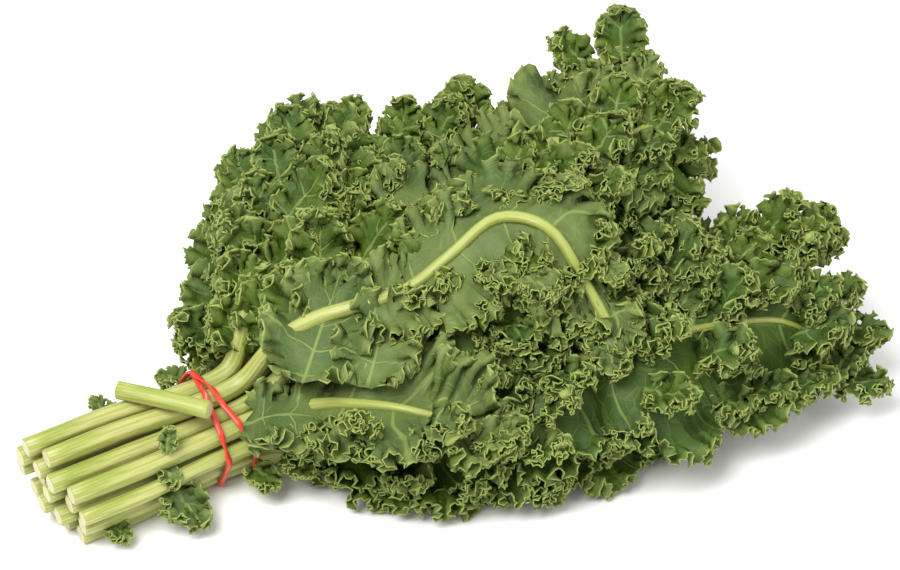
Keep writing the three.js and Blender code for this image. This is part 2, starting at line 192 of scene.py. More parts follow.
LEAVES = (
    LeafPlan("leaf_back_low", 0, 1, 24, 34, 16, 0.6, -1,
             ((146, 44, 11), (168, 80, 8), (182, 112, 4)), steps=20, columns=768),
    LeafPlan("leaf_left_low", 0, 0, 26, 50, 30, 0.6, -1,
             ((165, 34, 12), (225, 78, 10), (290, 118, 5)), steps=20, columns=768),
    LeafPlan("leaf_front_low", 0, -1, 28, 35, 22, 0.6, -1,
             ((150, -13, 11), (186, -48, 9), (218, -80, 4)), steps=20, columns=768),
    LeafPlan("leaf_left_back", 1, 1.5, 19, 40, 18, 0.6, -1,
             ((150, 50, 20), (178, 86, 24), (196, 120, 22)), steps=20, columns=768),
    LeafPlan("leaf_mid_low", 1, -0.5, 20, 50, 60, 0.4, -1,
             ((190, -8, 22), (280, -40, 20), (370, -76, 8)), steps=20, columns=768),
    LeafPlan("leaf_back_mid", 1, 0.5, 17, 52, 45, 0.5, -1,
             ((185, 40, 24), (262, 75, 30), (345, 100, 30)), steps=20, columns=768),
    LeafPlan("leaf_front_right", 1, -1.5, 27, 42, 30, 0.6, -1,
             ((160, -30, 17), (232, -70, 14), (310, -98, 5)), steps=20),
    LeafPlan("leaf_left_mid", 2, 2, 16, 44, 20, 0.8, -1,
             ((150, 50, 34), (178, 86, 52), (206, 124, 62))),
    LeafPlan("leaf_back_centre", 2.01, 1, 21, 52, 54, 0.7, -1,
             ((178, 33, 47), (245, 66, 66), (305, 104, 84))),
    LeafPlan("leaf_right_up", 2, 0, 18, 54, 85, 0.6, -1,
             ((200, -6, 40), (300, -36, 54), (418, -66, 66))),
    LeafPlan("leaf_right_lobe", 2, -1, 24, 56, 65, 0.8, -1,
             ((185, -32, 30), (285, -80, 35), (408, -108, 24))),
    LeafPlan("leaf_front_small", 2, -2, 25, 26, 8, 0.7, 1,
             ((138, -16, 33), (154, -25, 38)), steps=16, columns=768),
    LeafPlan("leaf_tall", 3.08, 1.5, 14, 56, 56, 0.85, 1,
             ((150, 33, 52), (226, 24, 80), (312, 31, 100), (392, 66, 108))),
    LeafPlan("leaf_centre", 3, -0.5, 18, 52, 60, 0.7, -1,
             ((180, 2, 54), (255, -24, 68), (335, -58, 66))),
    LeafPlan("leaf_top_right", 3.04, 0.5, 17, 50, 110, 0.8, -1,
             ((200, 12, 66), (300, 5, 84), (398, 14, 80))),
    LeafPlan("leaf_front_pale", 3, -1.5, 23, 40, 16, 0.9, 1,
             ((148, -24, 48), (168, -50, 58), (188, -70, 56), (214, -88, 44)), rib_least=2.0),
    LeafPlan("leaf_top_left", 4, 1, 15, 47, 48, 0.75, -1,
             ((156, 50, 64), (205, 98, 80), (246, 134, 88))),
    LeafPlan("leaf_arched", 4, 0, 20, 40, 62, 0.9, 1,
             ((150, 4, 58), (196, -16, 74), (250, -22, 92), (274, -58, 76), (280, -84, 60)),
             rib_least=2.9),
)


@dataclass(frozen=True)
class Sprig:
    """A leaflet, frill or fold, given one by one.

    on is the node it grows on, root where it starts, way where it points and long its length.
    pale turns its under side up.
    """

    name: str
    on: str
    root: tuple[float, float, float]
    way: tuple[float, float, float]
    long: float
    pale: bool = False


# Directions in the drawing, named as the camera sees them
LEFT_UP = (-0.27, 0.7, 0.65)
RIGHT_UP = (0.75, 0.06, 0.65)
UP = (0.34, 0.54, 0.77)
LEFT = (-0.63, 0.51, 0.5)
RIGHT = (0.85, -0.5, 0.15)
SPRIGS = (
    Sprig("leaflet_front", "leaf_front_low", (72, -6, 22), (0.25, -1, -0.35), 22, True),
    Sprig("leaflet_side", "leaf_front_right", (72, -6, 30), (-0.1, -1, 0.35), 11, True),
    Sprig("leaflet_back", "leaf_left_mid", (66, 37, 32), (-0.3, 1, 0.35), 13),
    Sprig("leaflet_end", "leaf_front_low", (42, -4, 8), (0.1, -1, 0.1), 12),
    Sprig("leaflet_top", "leaf_front_pale", (72, -8, 44), (0.35, 0.3, 0.6), 9),
    Sprig("fold_small", "leaf_front_small", (112, -11, 45), (0.82, -0.5, 0.3), 44, True),
    Sprig("fold_pale", "leaf_front_pale", (140, -22, 66), (0.67, 0.53, 0.52), 56, True),
    Sprig("fold_pale_tip", "leaf_front_pale", (164, -42, 66), (0.6, 0.55, 0.56), 42, True),
    Sprig("fold_tall", "leaf_tall", (308, 31, 114), (0.88, 0.42, 0.1), 62, True),
    Sprig("frill_band_low", "leaf_front_low", (116, -12, 16), (0.1, -1, 0.0), 15),
    Sprig("frill_band_side", "leaf_front_right", (130, -20, 22), (0.3, -1, 0.1), 15),
    Sprig("frill_back_1", "leaf_left_mid", (106, 36, 36), (-0.3, 0.75, 0.3), 15),
    Sprig("frill_back_2", "leaf_left_mid", (122, 40, 42), (-0.2, 0.8, 0.4), 20),
    Sprig("frill_left_1", "leaf_top_left", (130, 24, 57), (0.0, 0.6, 0.8), 24),
    Sprig("frill_left_2", "leaf_top_left", (140, 29, 62), (0.5, 0.3, 0.8), 30),
    Sprig("frill_left_3", "leaf_top_left", (146, 38, 67), (0.0, 0.6, 0.8), 28),
    Sprig("frill_left_4", "leaf_top_left", (160, 48, 72), RIGHT_UP, 32),
    Sprig("frill_left_5", "leaf_top_left", (170, 64, 76), LEFT, 26),
    Sprig("frill_left_6", "leaf_top_left", (186, 76, 82), RIGHT_UP, 30),
    Sprig("frill_left_7", "leaf_left_mid", (132, 40, 48), LEFT, 26),
    Sprig("frill_mid_1", "leaf_tall", (140, 20, 60), UP, 28),
    Sprig("frill_mid_2", "leaf_tall", (156, 24, 66), RIGHT_UP, 32),
    Sprig("frill_mid_3", "leaf_tall", (176, 24, 74), UP, 32),
    Sprig("frill_mid_4", "leaf_tall", (196, 24, 82), RIGHT_UP, 30),
    Sprig("frill_arch_1", "leaf_arched", (150, 8, 70), UP, 28),
    Sprig("frill_arch_2", "leaf_arched", (164, -2, 76), UP, 30),
    Sprig("frill_tall_1", "leaf_tall", (384, 66, 114), UP, 26),
    Sprig("frill_tall_2", "leaf_tall", (366, 72, 112), LEFT_UP, 22),
    Sprig("frill_right_1", "leaf_right_lobe", (402, -98, 38), RIGHT, 24),
    Sprig("frill_right_2", "leaf_right_lobe", (396, -114, 20), (0.55, -0.83, 0.1), 22),
    Sprig("frill_right_3", "leaf_right_lobe", (404, -84, 44), (0.8, -0.3, 0.5), 22),
)


@dataclass(frozen=True)
class LobeRing:
    """Curled lobes that stand in a row on both sides of a leaf's midrib.

    start and end are shares of the blade's length, out is the share of the way to the edge
    where they grow, long their length and tilt how steeply they rise in degrees.
    """

    count: int
    start: float
    end: float
    out: float
    long: float
    tilt: float
    sides: tuple[int, ...] = (1, -1)


INNER = LobeRing(5, 0.06, 0.9, 0.16, 25.0, 50.0)
MIDDLE = LobeRing(6, 0.1, 0.9, 0.42, 24.0, 42.0)
OUTER = LobeRing(6, 0.08, 0.92, 0.68, 22.0, 32.0)
RINGS: dict[str, tuple[LobeRing, ...]] = {
    "leaf_right_lobe": (INNER, MIDDLE, OUTER),
    "leaf_right_up": (INNER, MIDDLE, OUTER),
    "leaf_centre": (INNER, MIDDLE, OUTER),
    "leaf_top_right": (
        LobeRing(5, 0.2, 0.82, 0.25, 22.0, 38.0),
        LobeRing(6, 0.08, 0.8, 0.62, 20.0, 30.0, (-1,)),
    ),
    "leaf_top_left": (
        LobeRing(5, 0.06, 0.72, 0.2, 22.0, 40.0),
        LobeRing(5, 0.08, 0.8, 0.6, 19.0, 20.0),
    ),
    "leaf_back_centre": (INNER, OUTER),
    "leaf_left_mid": (LobeRing(5, 0.08, 0.85, 0.35, 24.0, 40.0),),
    "leaf_mid_low": (LobeRing(4, 0.1, 0.9, 0.5, 24.0, 35.0, (-1,)),),
    "leaf_front_right": (
        LobeRing(5, 0.1, 0.9, 0.25, 24.0, 45.0),
        LobeRing(5, 0.1, 0.9, 0.6, 22.0, 32.0),
    ),
    "leaf_tall": (LobeRing(6, 0.02, 0.9, 0.86, 18.0, 20.0),),
    "leaf_arched": (LobeRing(4, 0.25, 0.95, 0.75, 20.0, 30.0),),
    "leaf_front_pale": (LobeRing(4, 0.3, 0.95, 0.6, 20.0, 35.0, (-1,)),),
}


@dataclass(frozen=True)
class Ruffle:
    """One size of wave along a leaf's edge.

    length is from crest to crest, height its rise, depth how far in from the edge it
    reaches, all in millimetres; pinch draws the crests over their troughs, and power says
    how fast the wave fades inward.
    """

    length: float
    height: float
    depth: float
    pinch: float
    power: float


BLADE_RUFFLES = (
    Ruffle(13.0, 4.6, 30.0, 0.15, 1.1),
    Ruffle(5.4, 1.9, 11.0, 0.13, 1.0),
)
LOBE_RUFFLES = (
    Ruffle(10.5, 4.0, 17.0, 0.15, 0.9),
    Ruffle(4.3, 1.55, 8.0, 0.13, 0.9),
)

# A sheet's rows: each row's share of the way to the edge, and its step from column to column
Rows = tuple[tuple[float, int], ...]
EDGE_ROWS: Rows = (
    (0.0, 16), (0.2, 16), (0.38, 16), (0.53, 8), (0.65, 8), (0.75, 4), (0.83, 4), (0.9, 2),
    (0.95, 2), (1.0, 1),
)
LOBE_ROWS: Rows = (
    (0.0, 16), (0.3, 16), (0.52, 8), (0.7, 4), (0.83, 4), (0.93, 2), (1.0, 1),
)


# Geometry helpers


def unit(vectors: np.ndarray) -> np.ndarray:
    """Scales vectors to length 1.

    Args:
        vectors: an array whose last axis is x, y, z.

    Returns:
        The array with every vector at length 1.
    """
    size = np.linalg.norm(vectors, axis=-1, keepdims=True)
    return vectors / np.maximum(size, 1e-9)


def smooth_noise(rng: np.random.Generator, at: np.ndarray, span: float) -> np.ndarray:
    """A smooth random line between -1 and 1.

    Args:
        rng: the random draws.
        at: positions along the line.
        span: the distance over which it changes.

    Returns:
        The line's value at each position.
    """
    total = np.zeros_like(at, dtype=float)
    for share, size in ((1.0, 0.6), (2.3, 0.3), (4.1, 0.15)):
        total += size * np.sin(2 * np.pi * at * share / span + rng.uniform(0, 2 * np.pi))
    return total


def blurred(values: np.ndarray, reach: int, axis: int) -> np.ndarray:
    """Averages an array over its neighbours along one axis.

    Args:
        values: the array.
        reach: how many neighbours to either side.
        axis: the axis.

    Returns:
        An array of the same shape.
    """
    if reach < 1:
        return values
    moved = np.moveaxis(values, axis, 0)
    padded = np.concatenate([
        np.repeat(moved[:1], reach + 1, 0), moved, np.repeat(moved[-1:], reach, 0),
    ])
    total = np.cumsum(padded, axis=0)
    out = (total[2 * reach + 1:] - total[:-2 * reach - 1]) / (2 * reach + 1)
    return np.moveaxis(out, 0, axis)


class Curve:
    """A smooth line through knots, read by its share of length."""

    def __init__(self, knots: Sequence[Sequence[float]], per_span: int = 60) -> None:
        """Runs a centripetal Catmull-Rom line through the knots.

        Args:
            knots: the points on the way.
            per_span: samples from one knot to the next.
        """
        k = np.asarray(knots, dtype=float)
        k = np.vstack([2 * k[0] - k[1], k, 2 * k[-1] - k[-2]])
        t = np.linspace(0, 1, per_span, endpoint=False)[:, None]
        spans = []
        for p0, p1, p2, p3 in zip(k[:-3], k[1:-2], k[2:-1], k[3:]):
            d0, d1, d2 = (
                max(float(np.linalg.norm(b - a)) ** 0.5, 1e-4)
                for a, b in ((p0, p1), (p1, p2), (p2, p3))
            )
            m1 = ((p1 - p0) / d0 - (p2 - p0) / (d0 + d1) + (p2 - p1) / d1) * d1
            m2 = ((p2 - p1) / d1 - (p3 - p1) / (d1 + d2) + (p3 - p2) / d2) * d1
            square = 3 * (p2 - p1) - 2 * m1 - m2
            cube = 2 * (p1 - p2) + m1 + m2
            spans.append(p1 + m1 * t + square * t**2 + cube * t**3)
        self.points = np.concatenate(spans + [k[-2][None]])
        steps = np.linalg.norm(np.diff(self.points, axis=0), axis=1)
        self.along = np.concatenate([[0.0], np.cumsum(steps)])
        self.length = float(self.along[-1])

    def point(self, share: np.ndarray) -> np.ndarray:
        """The points at these shares of the length.

        Args:
            share: an array of shares, 0 at the start and 1 at the end.

        Returns:
            The points, one row for each share.
        """
        at = np.clip(share, 0, 1) * self.length
        return np.stack([np.interp(at, self.along, self.points[:, c]) for c in range(3)], axis=-1)

    def tangent(self, share: np.ndarray) -> np.ndarray:
        """The directions of the line at these shares of the length.

        Args:
            share: an array of shares.

        Returns:
            Unit vectors, one row for each share.
        """
        step = 1.5 / self.length
        ahead, behind = np.minimum(share + step, 1), np.maximum(share - step, 0)
        return unit(self.point(ahead) - self.point(behind))


@dataclass
class Shell:
    """A closed mesh: its points in the drawing's millimetres, its faces and its values."""

    points: np.ndarray
    faces: np.ndarray
    values: dict[str, np.ndarray] = field(default_factory=dict)

    def settled(self) -> Shell:
        """Presses what is under the table or too high up softly back, keeping its layers apart.

        Returns:
            The same shell with its heights between the table and the bunch's top.
        """
        z = self.points[:, 2]
        z = np.where(z < REST_SOFT, REST_SOFT * np.exp(np.minimum(z / REST_SOFT - 1, 0)), z)
        over = np.maximum(z - TOP, 0)
        self.points[:, 2] = np.where(over > 0, TOP + TOP_SOFT * (1 - np.exp(-over / TOP_SOFT)), z)
        return self

    @staticmethod
    def joined(shells: Sequence[Shell]) -> Shell:
        """Puts several shells into one mesh.

        Args:
            shells: shells with the same named values.

        Returns:
            One shell that holds them all.
        """
        starts = np.cumsum([0] + [len(s.points) for s in shells[:-1]])
        return Shell(
            np.concatenate([s.points for s in shells]),
            np.concatenate([s.faces + start for s, start in zip(shells, starts)]),
            {key: np.concatenate([s.values[key] for s in shells]) for key in shells[0].values},
        )


def face_normals(points: np.ndarray, faces: np.ndarray) -> np.ndarray:
    """Area-weighted normals of a sheet at its points.

    Args:
        points: the sheet's points.
        faces: its triangles.

    Returns:
        A unit normal for each point.
    """
    a, b, c = (points[faces[:, i]] for i in range(3))
    flat = np.cross(b - a, c - a)
    total = np.stack([
        sum(
            np.bincount(faces[:, i], weights=flat[:, axis], minlength=len(points))
            for i in range(3)
        )
        for axis in range(3)
    ], axis=-1)
    return unit(total)


def thickened(
    points: np.ndarray, faces: np.ndarray, thickness: float,
) -> tuple[np.ndarray, np.ndarray]:
    """Makes a thin sheet solid.

    Args:
        points: the sheet's points.
        faces: its triangles, seen from above.
        thickness: from its upper to its lower face.

    Returns:
        The solid's points, first the upper ones and then the lower ones, and its triangles.
    """
    offset = face_normals(points, faces) * thickness / 2
    count = len(points)
    edges = np.concatenate([faces[:, [0, 1]], faces[:, [1, 2]], faces[:, [2, 0]]])
    key = edges[:, 0].astype(np.int64) * count + edges[:, 1]
    back = edges[:, 1].astype(np.int64) * count + edges[:, 0]
    rim = edges[~np.isin(key, back)]
    start, end = rim[:, 0], rim[:, 1]
    sides = np.concatenate([
        np.stack([end, start, start + count], axis=1),
        np.stack([end, start + count, end + count], axis=1),
    ])
    return (
        np.concatenate([points + offset, points - offset]),
        np.concatenate([faces, faces[:, [0, 2, 1]] + count, sides]),
    )


class Frame:
    """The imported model's nodes and the way from the drawing's millimetres to its metres."""

    def __init__(self) -> None:
        """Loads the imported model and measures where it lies."""
        self.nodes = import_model()["nodes"]
        low, high = (np.array(corner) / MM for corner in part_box("stem_offcut"))
        middle = (np.array(OFFCUT_FROM) + np.array(OFFCUT_TO)) / 2
        self.shift = np.append((low + high)[:2] / 2 - middle, 0.0)
        self.offcut_z = float((low[2] + high[2] - OFFCUT_RADIUS * (1 - FLAT_SIDE)) / 2)
        LOG.info("shift of the frame %s mm", np.round(self.shift, 2))

    def drawn(self, name: str) -> tuple[np.ndarray, list[tuple[int, ...]]]:
        """A node's mesh in the drawing's millimetres.

        Args:
            name: the node.

        Returns:
            Its points and its faces.
        """
        node = self.nodes[name]
        mesh = node.data
        points = np.empty(len(mesh.vertices) * 3)
        mesh.vertices.foreach_get("co", points)
        world = np.array(node.matrix_world)
        points = points.reshape(-1, 3) @ world[:3, :3].T + world[:3, 3]
        return points / MM - self.shift, [tuple(p.vertices) for p in mesh.polygons]

    def placed(self, points: np.ndarray) -> np.ndarray:
        """The drawing's points in the frame's metres.

        Args:
            points: points in the drawing's millimetres.

        Returns:
            The same points in metres.
        """
        return (points + self.shift) * MM


def seat(plan: LeafPlan, spread: float) -> tuple[float, float]:
    """Where a stem sits in the bundle.

    Args:
        plan: the leaf.
        spread: how much wider the bundle is there than at its band.

    Returns:
        The stem's place across and its height.
    """
    across = BUNDLE_Y + plan.place * STEM_PITCH * spread
    return across, BUNDLE_LIFT + plan.row * ROW_RISE * spread


def reach(half: float, q: np.ndarray) -> tuple[np.ndarray, np.ndarray]:
    """How far a blade reaches from its midrib, and which way.

    Args:
        half: half the blade's width.
        q: shares of the blade's length.

    Returns:
        The distances and their angles from the midrib.
    """
    beat = 2 * np.pi * LOBES * (q + 0.02)
    outline = 0.14 + 0.86 * np.clip(np.sin(np.pi * q**0.8), 0, 1) ** 0.65
    turn = np.radians(78 * (1 - q**2.4) + 16 * np.sin(beat) * (1 - q))
    return half * outline * (0.86 - 0.14 * np.cos(beat)), turn


def round_columns(columns: int) -> tuple[np.ndarray, np.ndarray]:
    """The columns of a sheet that runs out beside its midrib and back on the other side.

    Args:
        columns: how many there are, in full detail.

    Returns:
        Each column's share of the sheet's length, and its side, 1 or -1.
    """
    half = columns // 1 // 2
    place = np.arange(2 * half + 1) - half
    return 1 - np.abs(place) / half, np.where(place <= 0, 1.0, -1.0)


class Leaf:
    """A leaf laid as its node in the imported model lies."""

    GRID_Q = 257
    GRID_V = 33

    def __init__(self, plan: LeafPlan, frame: Frame, seed: int) -> None:
        """Measures the node and works out the leaf's lines.

        Args:
            plan: the leaf's plan.
            frame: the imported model.
            seed: the start of the leaf's random draws.
        """
        self.plan = plan
        self.rng = np.random.default_rng(seed)
        bend = BAND_X + STRAIGHT
        self.curve = Curve((
            (BAND_X, *seat(plan, 1 + OPENING / 2)), (bend, *seat(plan, 1 + OPENING)), *plan.way,
        ))
        spaced = self.curve.point(np.linspace(0, 1, 401))
        self.bend_at = float(np.argmax(spaced[:, 0] >= bend - 0.01)) / 400
        self.start = self.bend_at + plan.bare / self.curve.length
        self.points, faces = frame.drawn(plan.name)
        self.tree = BVHTree.FromPolygons([Vector(p) for p in self.points], faces)
        self._measure()

    def _top(self, at: np.ndarray) -> float:
        """The height of the node's top over a point.

        Args:
            at: the point.

        Returns:
            The height, or nan beside the node.
        """
        hit = self.tree.ray_cast(Vector((at[0], at[1], 400)), Vector((0, 0, -1)))[0]
        return float("nan") if hit is None else hit.z

    def _radii(self, stations: int, ribs: int) -> np.ndarray:
        """The node's stem radii at its stations and along its midrib.

        Args:
            stations: stations of the stem.
            ribs: points of the midrib after the first.

        Returns:
            The radii from the cut end to the tip.
        """
        base = STEM_RADIUS * (SLIM_STEM if self.plan.half < SMALL_LEAF else 1)
        free = np.maximum(np.arange(stations) - FIXED_STATIONS, 0)
        stem = 1 - STEM_TAPER * free / (stations - FIXED_STATIONS - 1)
        rib = RIB_THICK - RIB_TAPER * np.arange(1, ribs + 1) / ribs
        return base * np.concatenate([stem, rib])

    def drawn(self, side: int, q: np.ndarray, v: np.ndarray) -> np.ndarray:
        """The blade as it is drawn, before it is laid on the others and without its waves.

        Args:
            side: +1 or -1, for the two sides of the midrib.
            q: shares of the blade's length.
            v: shares of the way from the midrib to the edge.

        Returns:
            The points, with the shapes of q and v broadcast.
        """
        share = self.start + (1 - self.start) * q * 0.995
        along = self.curve.tangent(share)
        across = unit(np.stack([-along[..., 1], along[..., 0], np.zeros_like(q)], axis=-1))
        long, turn = reach(self.plan.half, q)
        out = (long * v)[..., None]
        ahead = along * np.cos(turn)[..., None] * out
        aside = across * (side * np.sin(turn))[..., None] * out
        return self.curve.point(share) + ahead + aside

    def _curl(self, q: np.ndarray) -> np.ndarray:
        """How strong the blade's waves are.

        Args:
            q: shares of the blade's length.

        Returns:
            The strength, 1 on the outer part of a usual leaf with a curl of 1.
        """
        return self.plan.curl * np.minimum(1, 0.15 + 3 * q) * self.plan.half / USUAL_HALF

    def slow_wave(self, side: int, q: np.ndarray, v: np.ndarray) -> tuple[np.ndarray, np.ndarray]:
        """The blade's large waves.

        Args:
            side: +1 or -1.
            q: shares of the blade's length.
            v: shares of the way to the edge.

        Returns:
            Their phase and their height.
        """
        phase = 2 * np.pi * WAVES * q + side + self.plan.half
        return phase, WAVE_HEIGHT * self._curl(q) * np.sin(phase) * v**2

    def _lifts(self, side: int, v: float, count: int) -> np.ndarray:
        """How far a row of the node's points was lifted over what it lies on.

        Args:
            side: +1 or -1.
            v: the row's share of the way to the edge.
            count: steps along the row.

        Returns:
            The lifts along the row.
        """
        q = np.linspace(0, 1, count + 1)
        drawn = self.drawn(side, q, np.full_like(q, v))
        odd = np.round(q * self.plan.steps) % 2 == 1
        crinkle = CRINKLE * self._curl(q) * np.where(odd, 1, -1) if v == 1 else 0
        apart = np.linalg.norm(drawn[:, None, :2] - self.points[None, :, :2], axis=-1)
        nearest = np.argsort(apart, axis=1)[:, :2]
        gap = np.take_along_axis(apart, nearest, axis=1)
        height = self.points[nearest, 2].mean(axis=1)
        lift = height - drawn[:, 2] - self.slow_wave(side, q, v)[1] - crinkle
        good = gap.max(axis=1) < POINT_APART
        return np.interp(q, q[good], lift[good]) if good.any() else np.zeros_like(q)

    def _measure(self) -> None:
        """Finds the stem's line and the blade's lifts from the node."""
        plan = self.plan
        cut_y, cut_z = seat(plan, SPREAD)
        y, z = seat(plan, 1)
        rest = cut_z - BUNDLE_LIFT + STEM_RADIUS * FLAT_SIDE
        fixed = [(plan.cut, cut_y, rest), (RESTING_END, cut_y, rest), (BAND_X - STRAIGHT, y, z)]
        free = max(1, round(plan.bare / BARE_STEP))
        shares = self.bend_at + (self.start - self.bend_at) * np.linspace(0, 1, free + 1) * 0.998
        ribs = plan.steps // 4
        rib_q = np.arange(1, ribs + 1) / ribs
        midrib = self.drawn(1, rib_q, np.zeros_like(rib_q))
        beyond = np.concatenate([self.curve.point(shares), midrib])
        self.radii = self._radii(len(fixed) + free + 1, ribs)
        raised = np.concatenate([np.zeros(free + 1), np.full(ribs, plan.rib * RIB_OUT)])
        raised = raised * self.radii[len(fixed):]
        tops = np.array([self._top(p) for p in beyond])
        centre = tops - self.radii[len(fixed):]
        centre[0] = seat(plan, 1 + OPENING)[1]
        good = np.isfinite(centre)
        at = np.arange(len(centre))
        centre = np.interp(at, at[good], centre[good])
        self.core = np.array(fixed + [(*p[:2], c) for p, c in zip(beyond, centre)])
        rib_lift = (centre - raised - beyond[:, 2])[free:]
        rib_lift[0] = centre[free] - beyond[free, 2]
        self.lifts = {}
        q_fine = np.linspace(0, 1, self.GRID_Q)
        v_fine = np.linspace(0, 1, self.GRID_V)
        for side in (1, -1):
            rows = [np.interp(q_fine, np.linspace(0, 1, ribs + 1), rib_lift)]
            for v, count in zip(NODE_ROWS, (plan.steps // 2, plan.steps, plan.steps)):
                lifts = self._lifts(side, v, count)
                rows.append(np.interp(q_fine, np.linspace(0, 1, count + 1), lifts))
            columns = np.stack(rows).T
            spread = np.stack([np.interp(v_fine, (0, *NODE_ROWS), c) for c in columns], axis=1)
            self.lifts[side] = blurred(blurred(blurred(spread, 5, 1), 5, 1), 3, 0)

    def lift(self, side: int, q: np.ndarray, v: np.ndarray) -> np.ndarray:
        """The smooth lift of the blade over what it lies on.

        Args:
            side: +1 or -1.
            q: shares of the blade's length.
            v: shares of the way to the edge.

        Returns:
            The lift in millimetres.
        """
        table = self.lifts[side]
        column = np.clip(q, 0, 1) * (self.GRID_Q - 1)
        row = np.clip(v, 0, 1) * (self.GRID_V - 1)
        i = np.minimum(row.astype(int), self.GRID_V - 2)
        j = np.minimum(column.astype(int), self.GRID_Q - 2)
        a, b = row - i, column - j
        upper = table[i, j] * (1 - b) + table[i, j + 1] * b
        lower = table[i + 1, j] * (1 - b) + table[i + 1, j + 1] * b
        return upper * (1 - a) + lower * a

    def blade(self) -> Shell:
        """The frilled blade.

        Returns:
            A closed shell.
        """
        q, side = round_columns(self.plan.columns)
        v = np.array([row for row, _ in EDGE_ROWS])
        qq, vv = np.broadcast_arrays(q[None, :], v[:, None])
        left, right = (self._laid(way, qq, vv) for way in (1, -1))
        sheet = np.where((side > 0)[None, :, None], left, right)
        long = reach(self.plan.half, q)[0]
        margin = (1 - vv) * np.maximum(long, 4)[None, :]
        along = q * (1 - self.start) * self.curve.length
        frills = Frills(self.rng, 1.0, BLADE_RUFFLES)
        sheet = frills.worked(sheet, margin, self._large_waves(qq, vv, side > 0))
        flat = np.stack([
            np.broadcast_to(along[None, :], vv.shape),
            vv * (long * side)[None, :],
            vv,
        ], axis=-1)
        return branched(sheet, margin, flat, EDGE_ROWS)

    def lobes(self, ring: LobeRing) -> list[Shell]:
        """Curled lobes that stand up from the blade.

        Args:
            ring: how many there are, where and how large.

        Returns:
            A closed shell for each.
        """
        shells = []
        for side in ring.sides:
            for k in range(ring.count):
                step = (k + 0.5 + self.rng.uniform(-0.25, 0.25)) / ring.count
                q = np.array([ring.start + (ring.end - ring.start) * step])
                v = np.array([ring.out + self.rng.uniform(-0.1, 0.1)])
                at = self._laid(side, q, v)[0]
                out = unit(self._laid(side, np.clip(q + 0.03, 0, 1), v + 0.12)[0] - at)
                swing = np.radians(self.rng.uniform(-LOBE_SWING, LOBE_SWING))
                out = np.array([out[0] * np.cos(swing) - out[1] * np.sin(swing),
                                out[0] * np.sin(swing) + out[1] * np.cos(swing), out[2]])
                rise = np.radians(ring.tilt + self.rng.uniform(-LOBE_TILT, LOBE_TILT))
                turned = out * np.cos(rise) + np.array([0, 0, 1]) * np.sin(rise)
                long = ring.long * self.rng.uniform(0.8, 1.2)
                shells.append(lobe(at + np.array([0, 0, 1.0]), turned, long, self.rng))
        return shells

    def _laid(self, side: int, q: np.ndarray, v: np.ndarray) -> np.ndarray:
        """The blade laid on the others, without its waves.

        Args:
            side: +1 or -1.
            q: shares of the blade's length.
            v: shares of the way to the edge.

        Returns:
            The points.
        """
        points = self.drawn(side, q, v)
        points[..., 2] += self.lift(side, q, v)
        return points

    def _large_waves(
        self, q: np.ndarray, v: np.ndarray, left: np.ndarray,
    ) -> tuple[np.ndarray, np.ndarray]:
        """The large waves over the whole blade.

        Args:
            q: shares of the blade's length.
            v: shares of the way to the edge.
            left: which columns are on the midrib's left.

        Returns:
            Their phase and their height.
        """
        pairs = [self.slow_wave(side, q, v) for side in (1, -1)]
        return tuple(np.where(left[None, :], a, b) for a, b in zip(*pairs))


def lobe(root: np.ndarray, way: np.ndarray, long: float, rng: np.random.Generator) -> Shell:
    """A small curled lobe of leaf.

    Args:
        root: where it grows from.
        way: the direction that it grows in.
        long: its length.
        rng: the random draws.

    Returns:
        A closed shell.
    """
    way = unit(way)
    droop = rng.uniform(-0.1, 0.35)
    bend = np.array([0.0, 0.0, -droop * long])
    curve = Curve((
        root, root + way * long * 0.4, root + way * long * 0.75 + bend * 0.4,
        root + way * long + bend,
    ))
    q, side = round_columns(LOBE_COLUMNS)
    v = np.array([row for row, _ in LOBE_ROWS])
    along = curve.tangent(q)
    across = unit(np.stack([-along[:, 1], along[:, 0], np.zeros_like(q)], axis=-1))
    wide = long * LOBE_WIDE * (0.3 + 0.7 * np.clip(np.sin(np.pi * q**0.85), 0, 1) ** 0.6)
    turn = np.radians(80 * (1 - q**2.2))
    edge = (along * (np.cos(turn) * wide)[:, None]
            + across * (side * np.sin(turn) * wide)[:, None])
    sheet = curve.point(q)[None] + edge[None] * v[:, None, None]
    margin = (1 - v)[:, None] * np.maximum(wide, 3)[None, :]
    phase = 2 * np.pi * LOBE_WAVES * q + side + rng.uniform(0, 6)
    phase = np.broadcast_to(phase[None, :], margin.shape)
    height = long * LOBE_WAVE_HEIGHT * np.sin(phase) * v[:, None] ** 1.4
    frills = Frills(rng, min(1.0, long / USUAL_LOBE), LOBE_RUFFLES)
    sheet = frills.worked(sheet, margin, (phase, height))
    flat = np.stack([
        np.broadcast_to((q * long)[None, :], margin.shape) * LOBE_VEINS + rng.uniform(0, 200),
        v[:, None] * (wide * side)[None, :],
        np.broadcast_to(v[:, None], margin.shape),
    ], axis=-1)
    return branched(sheet, margin, flat, LOBE_ROWS)


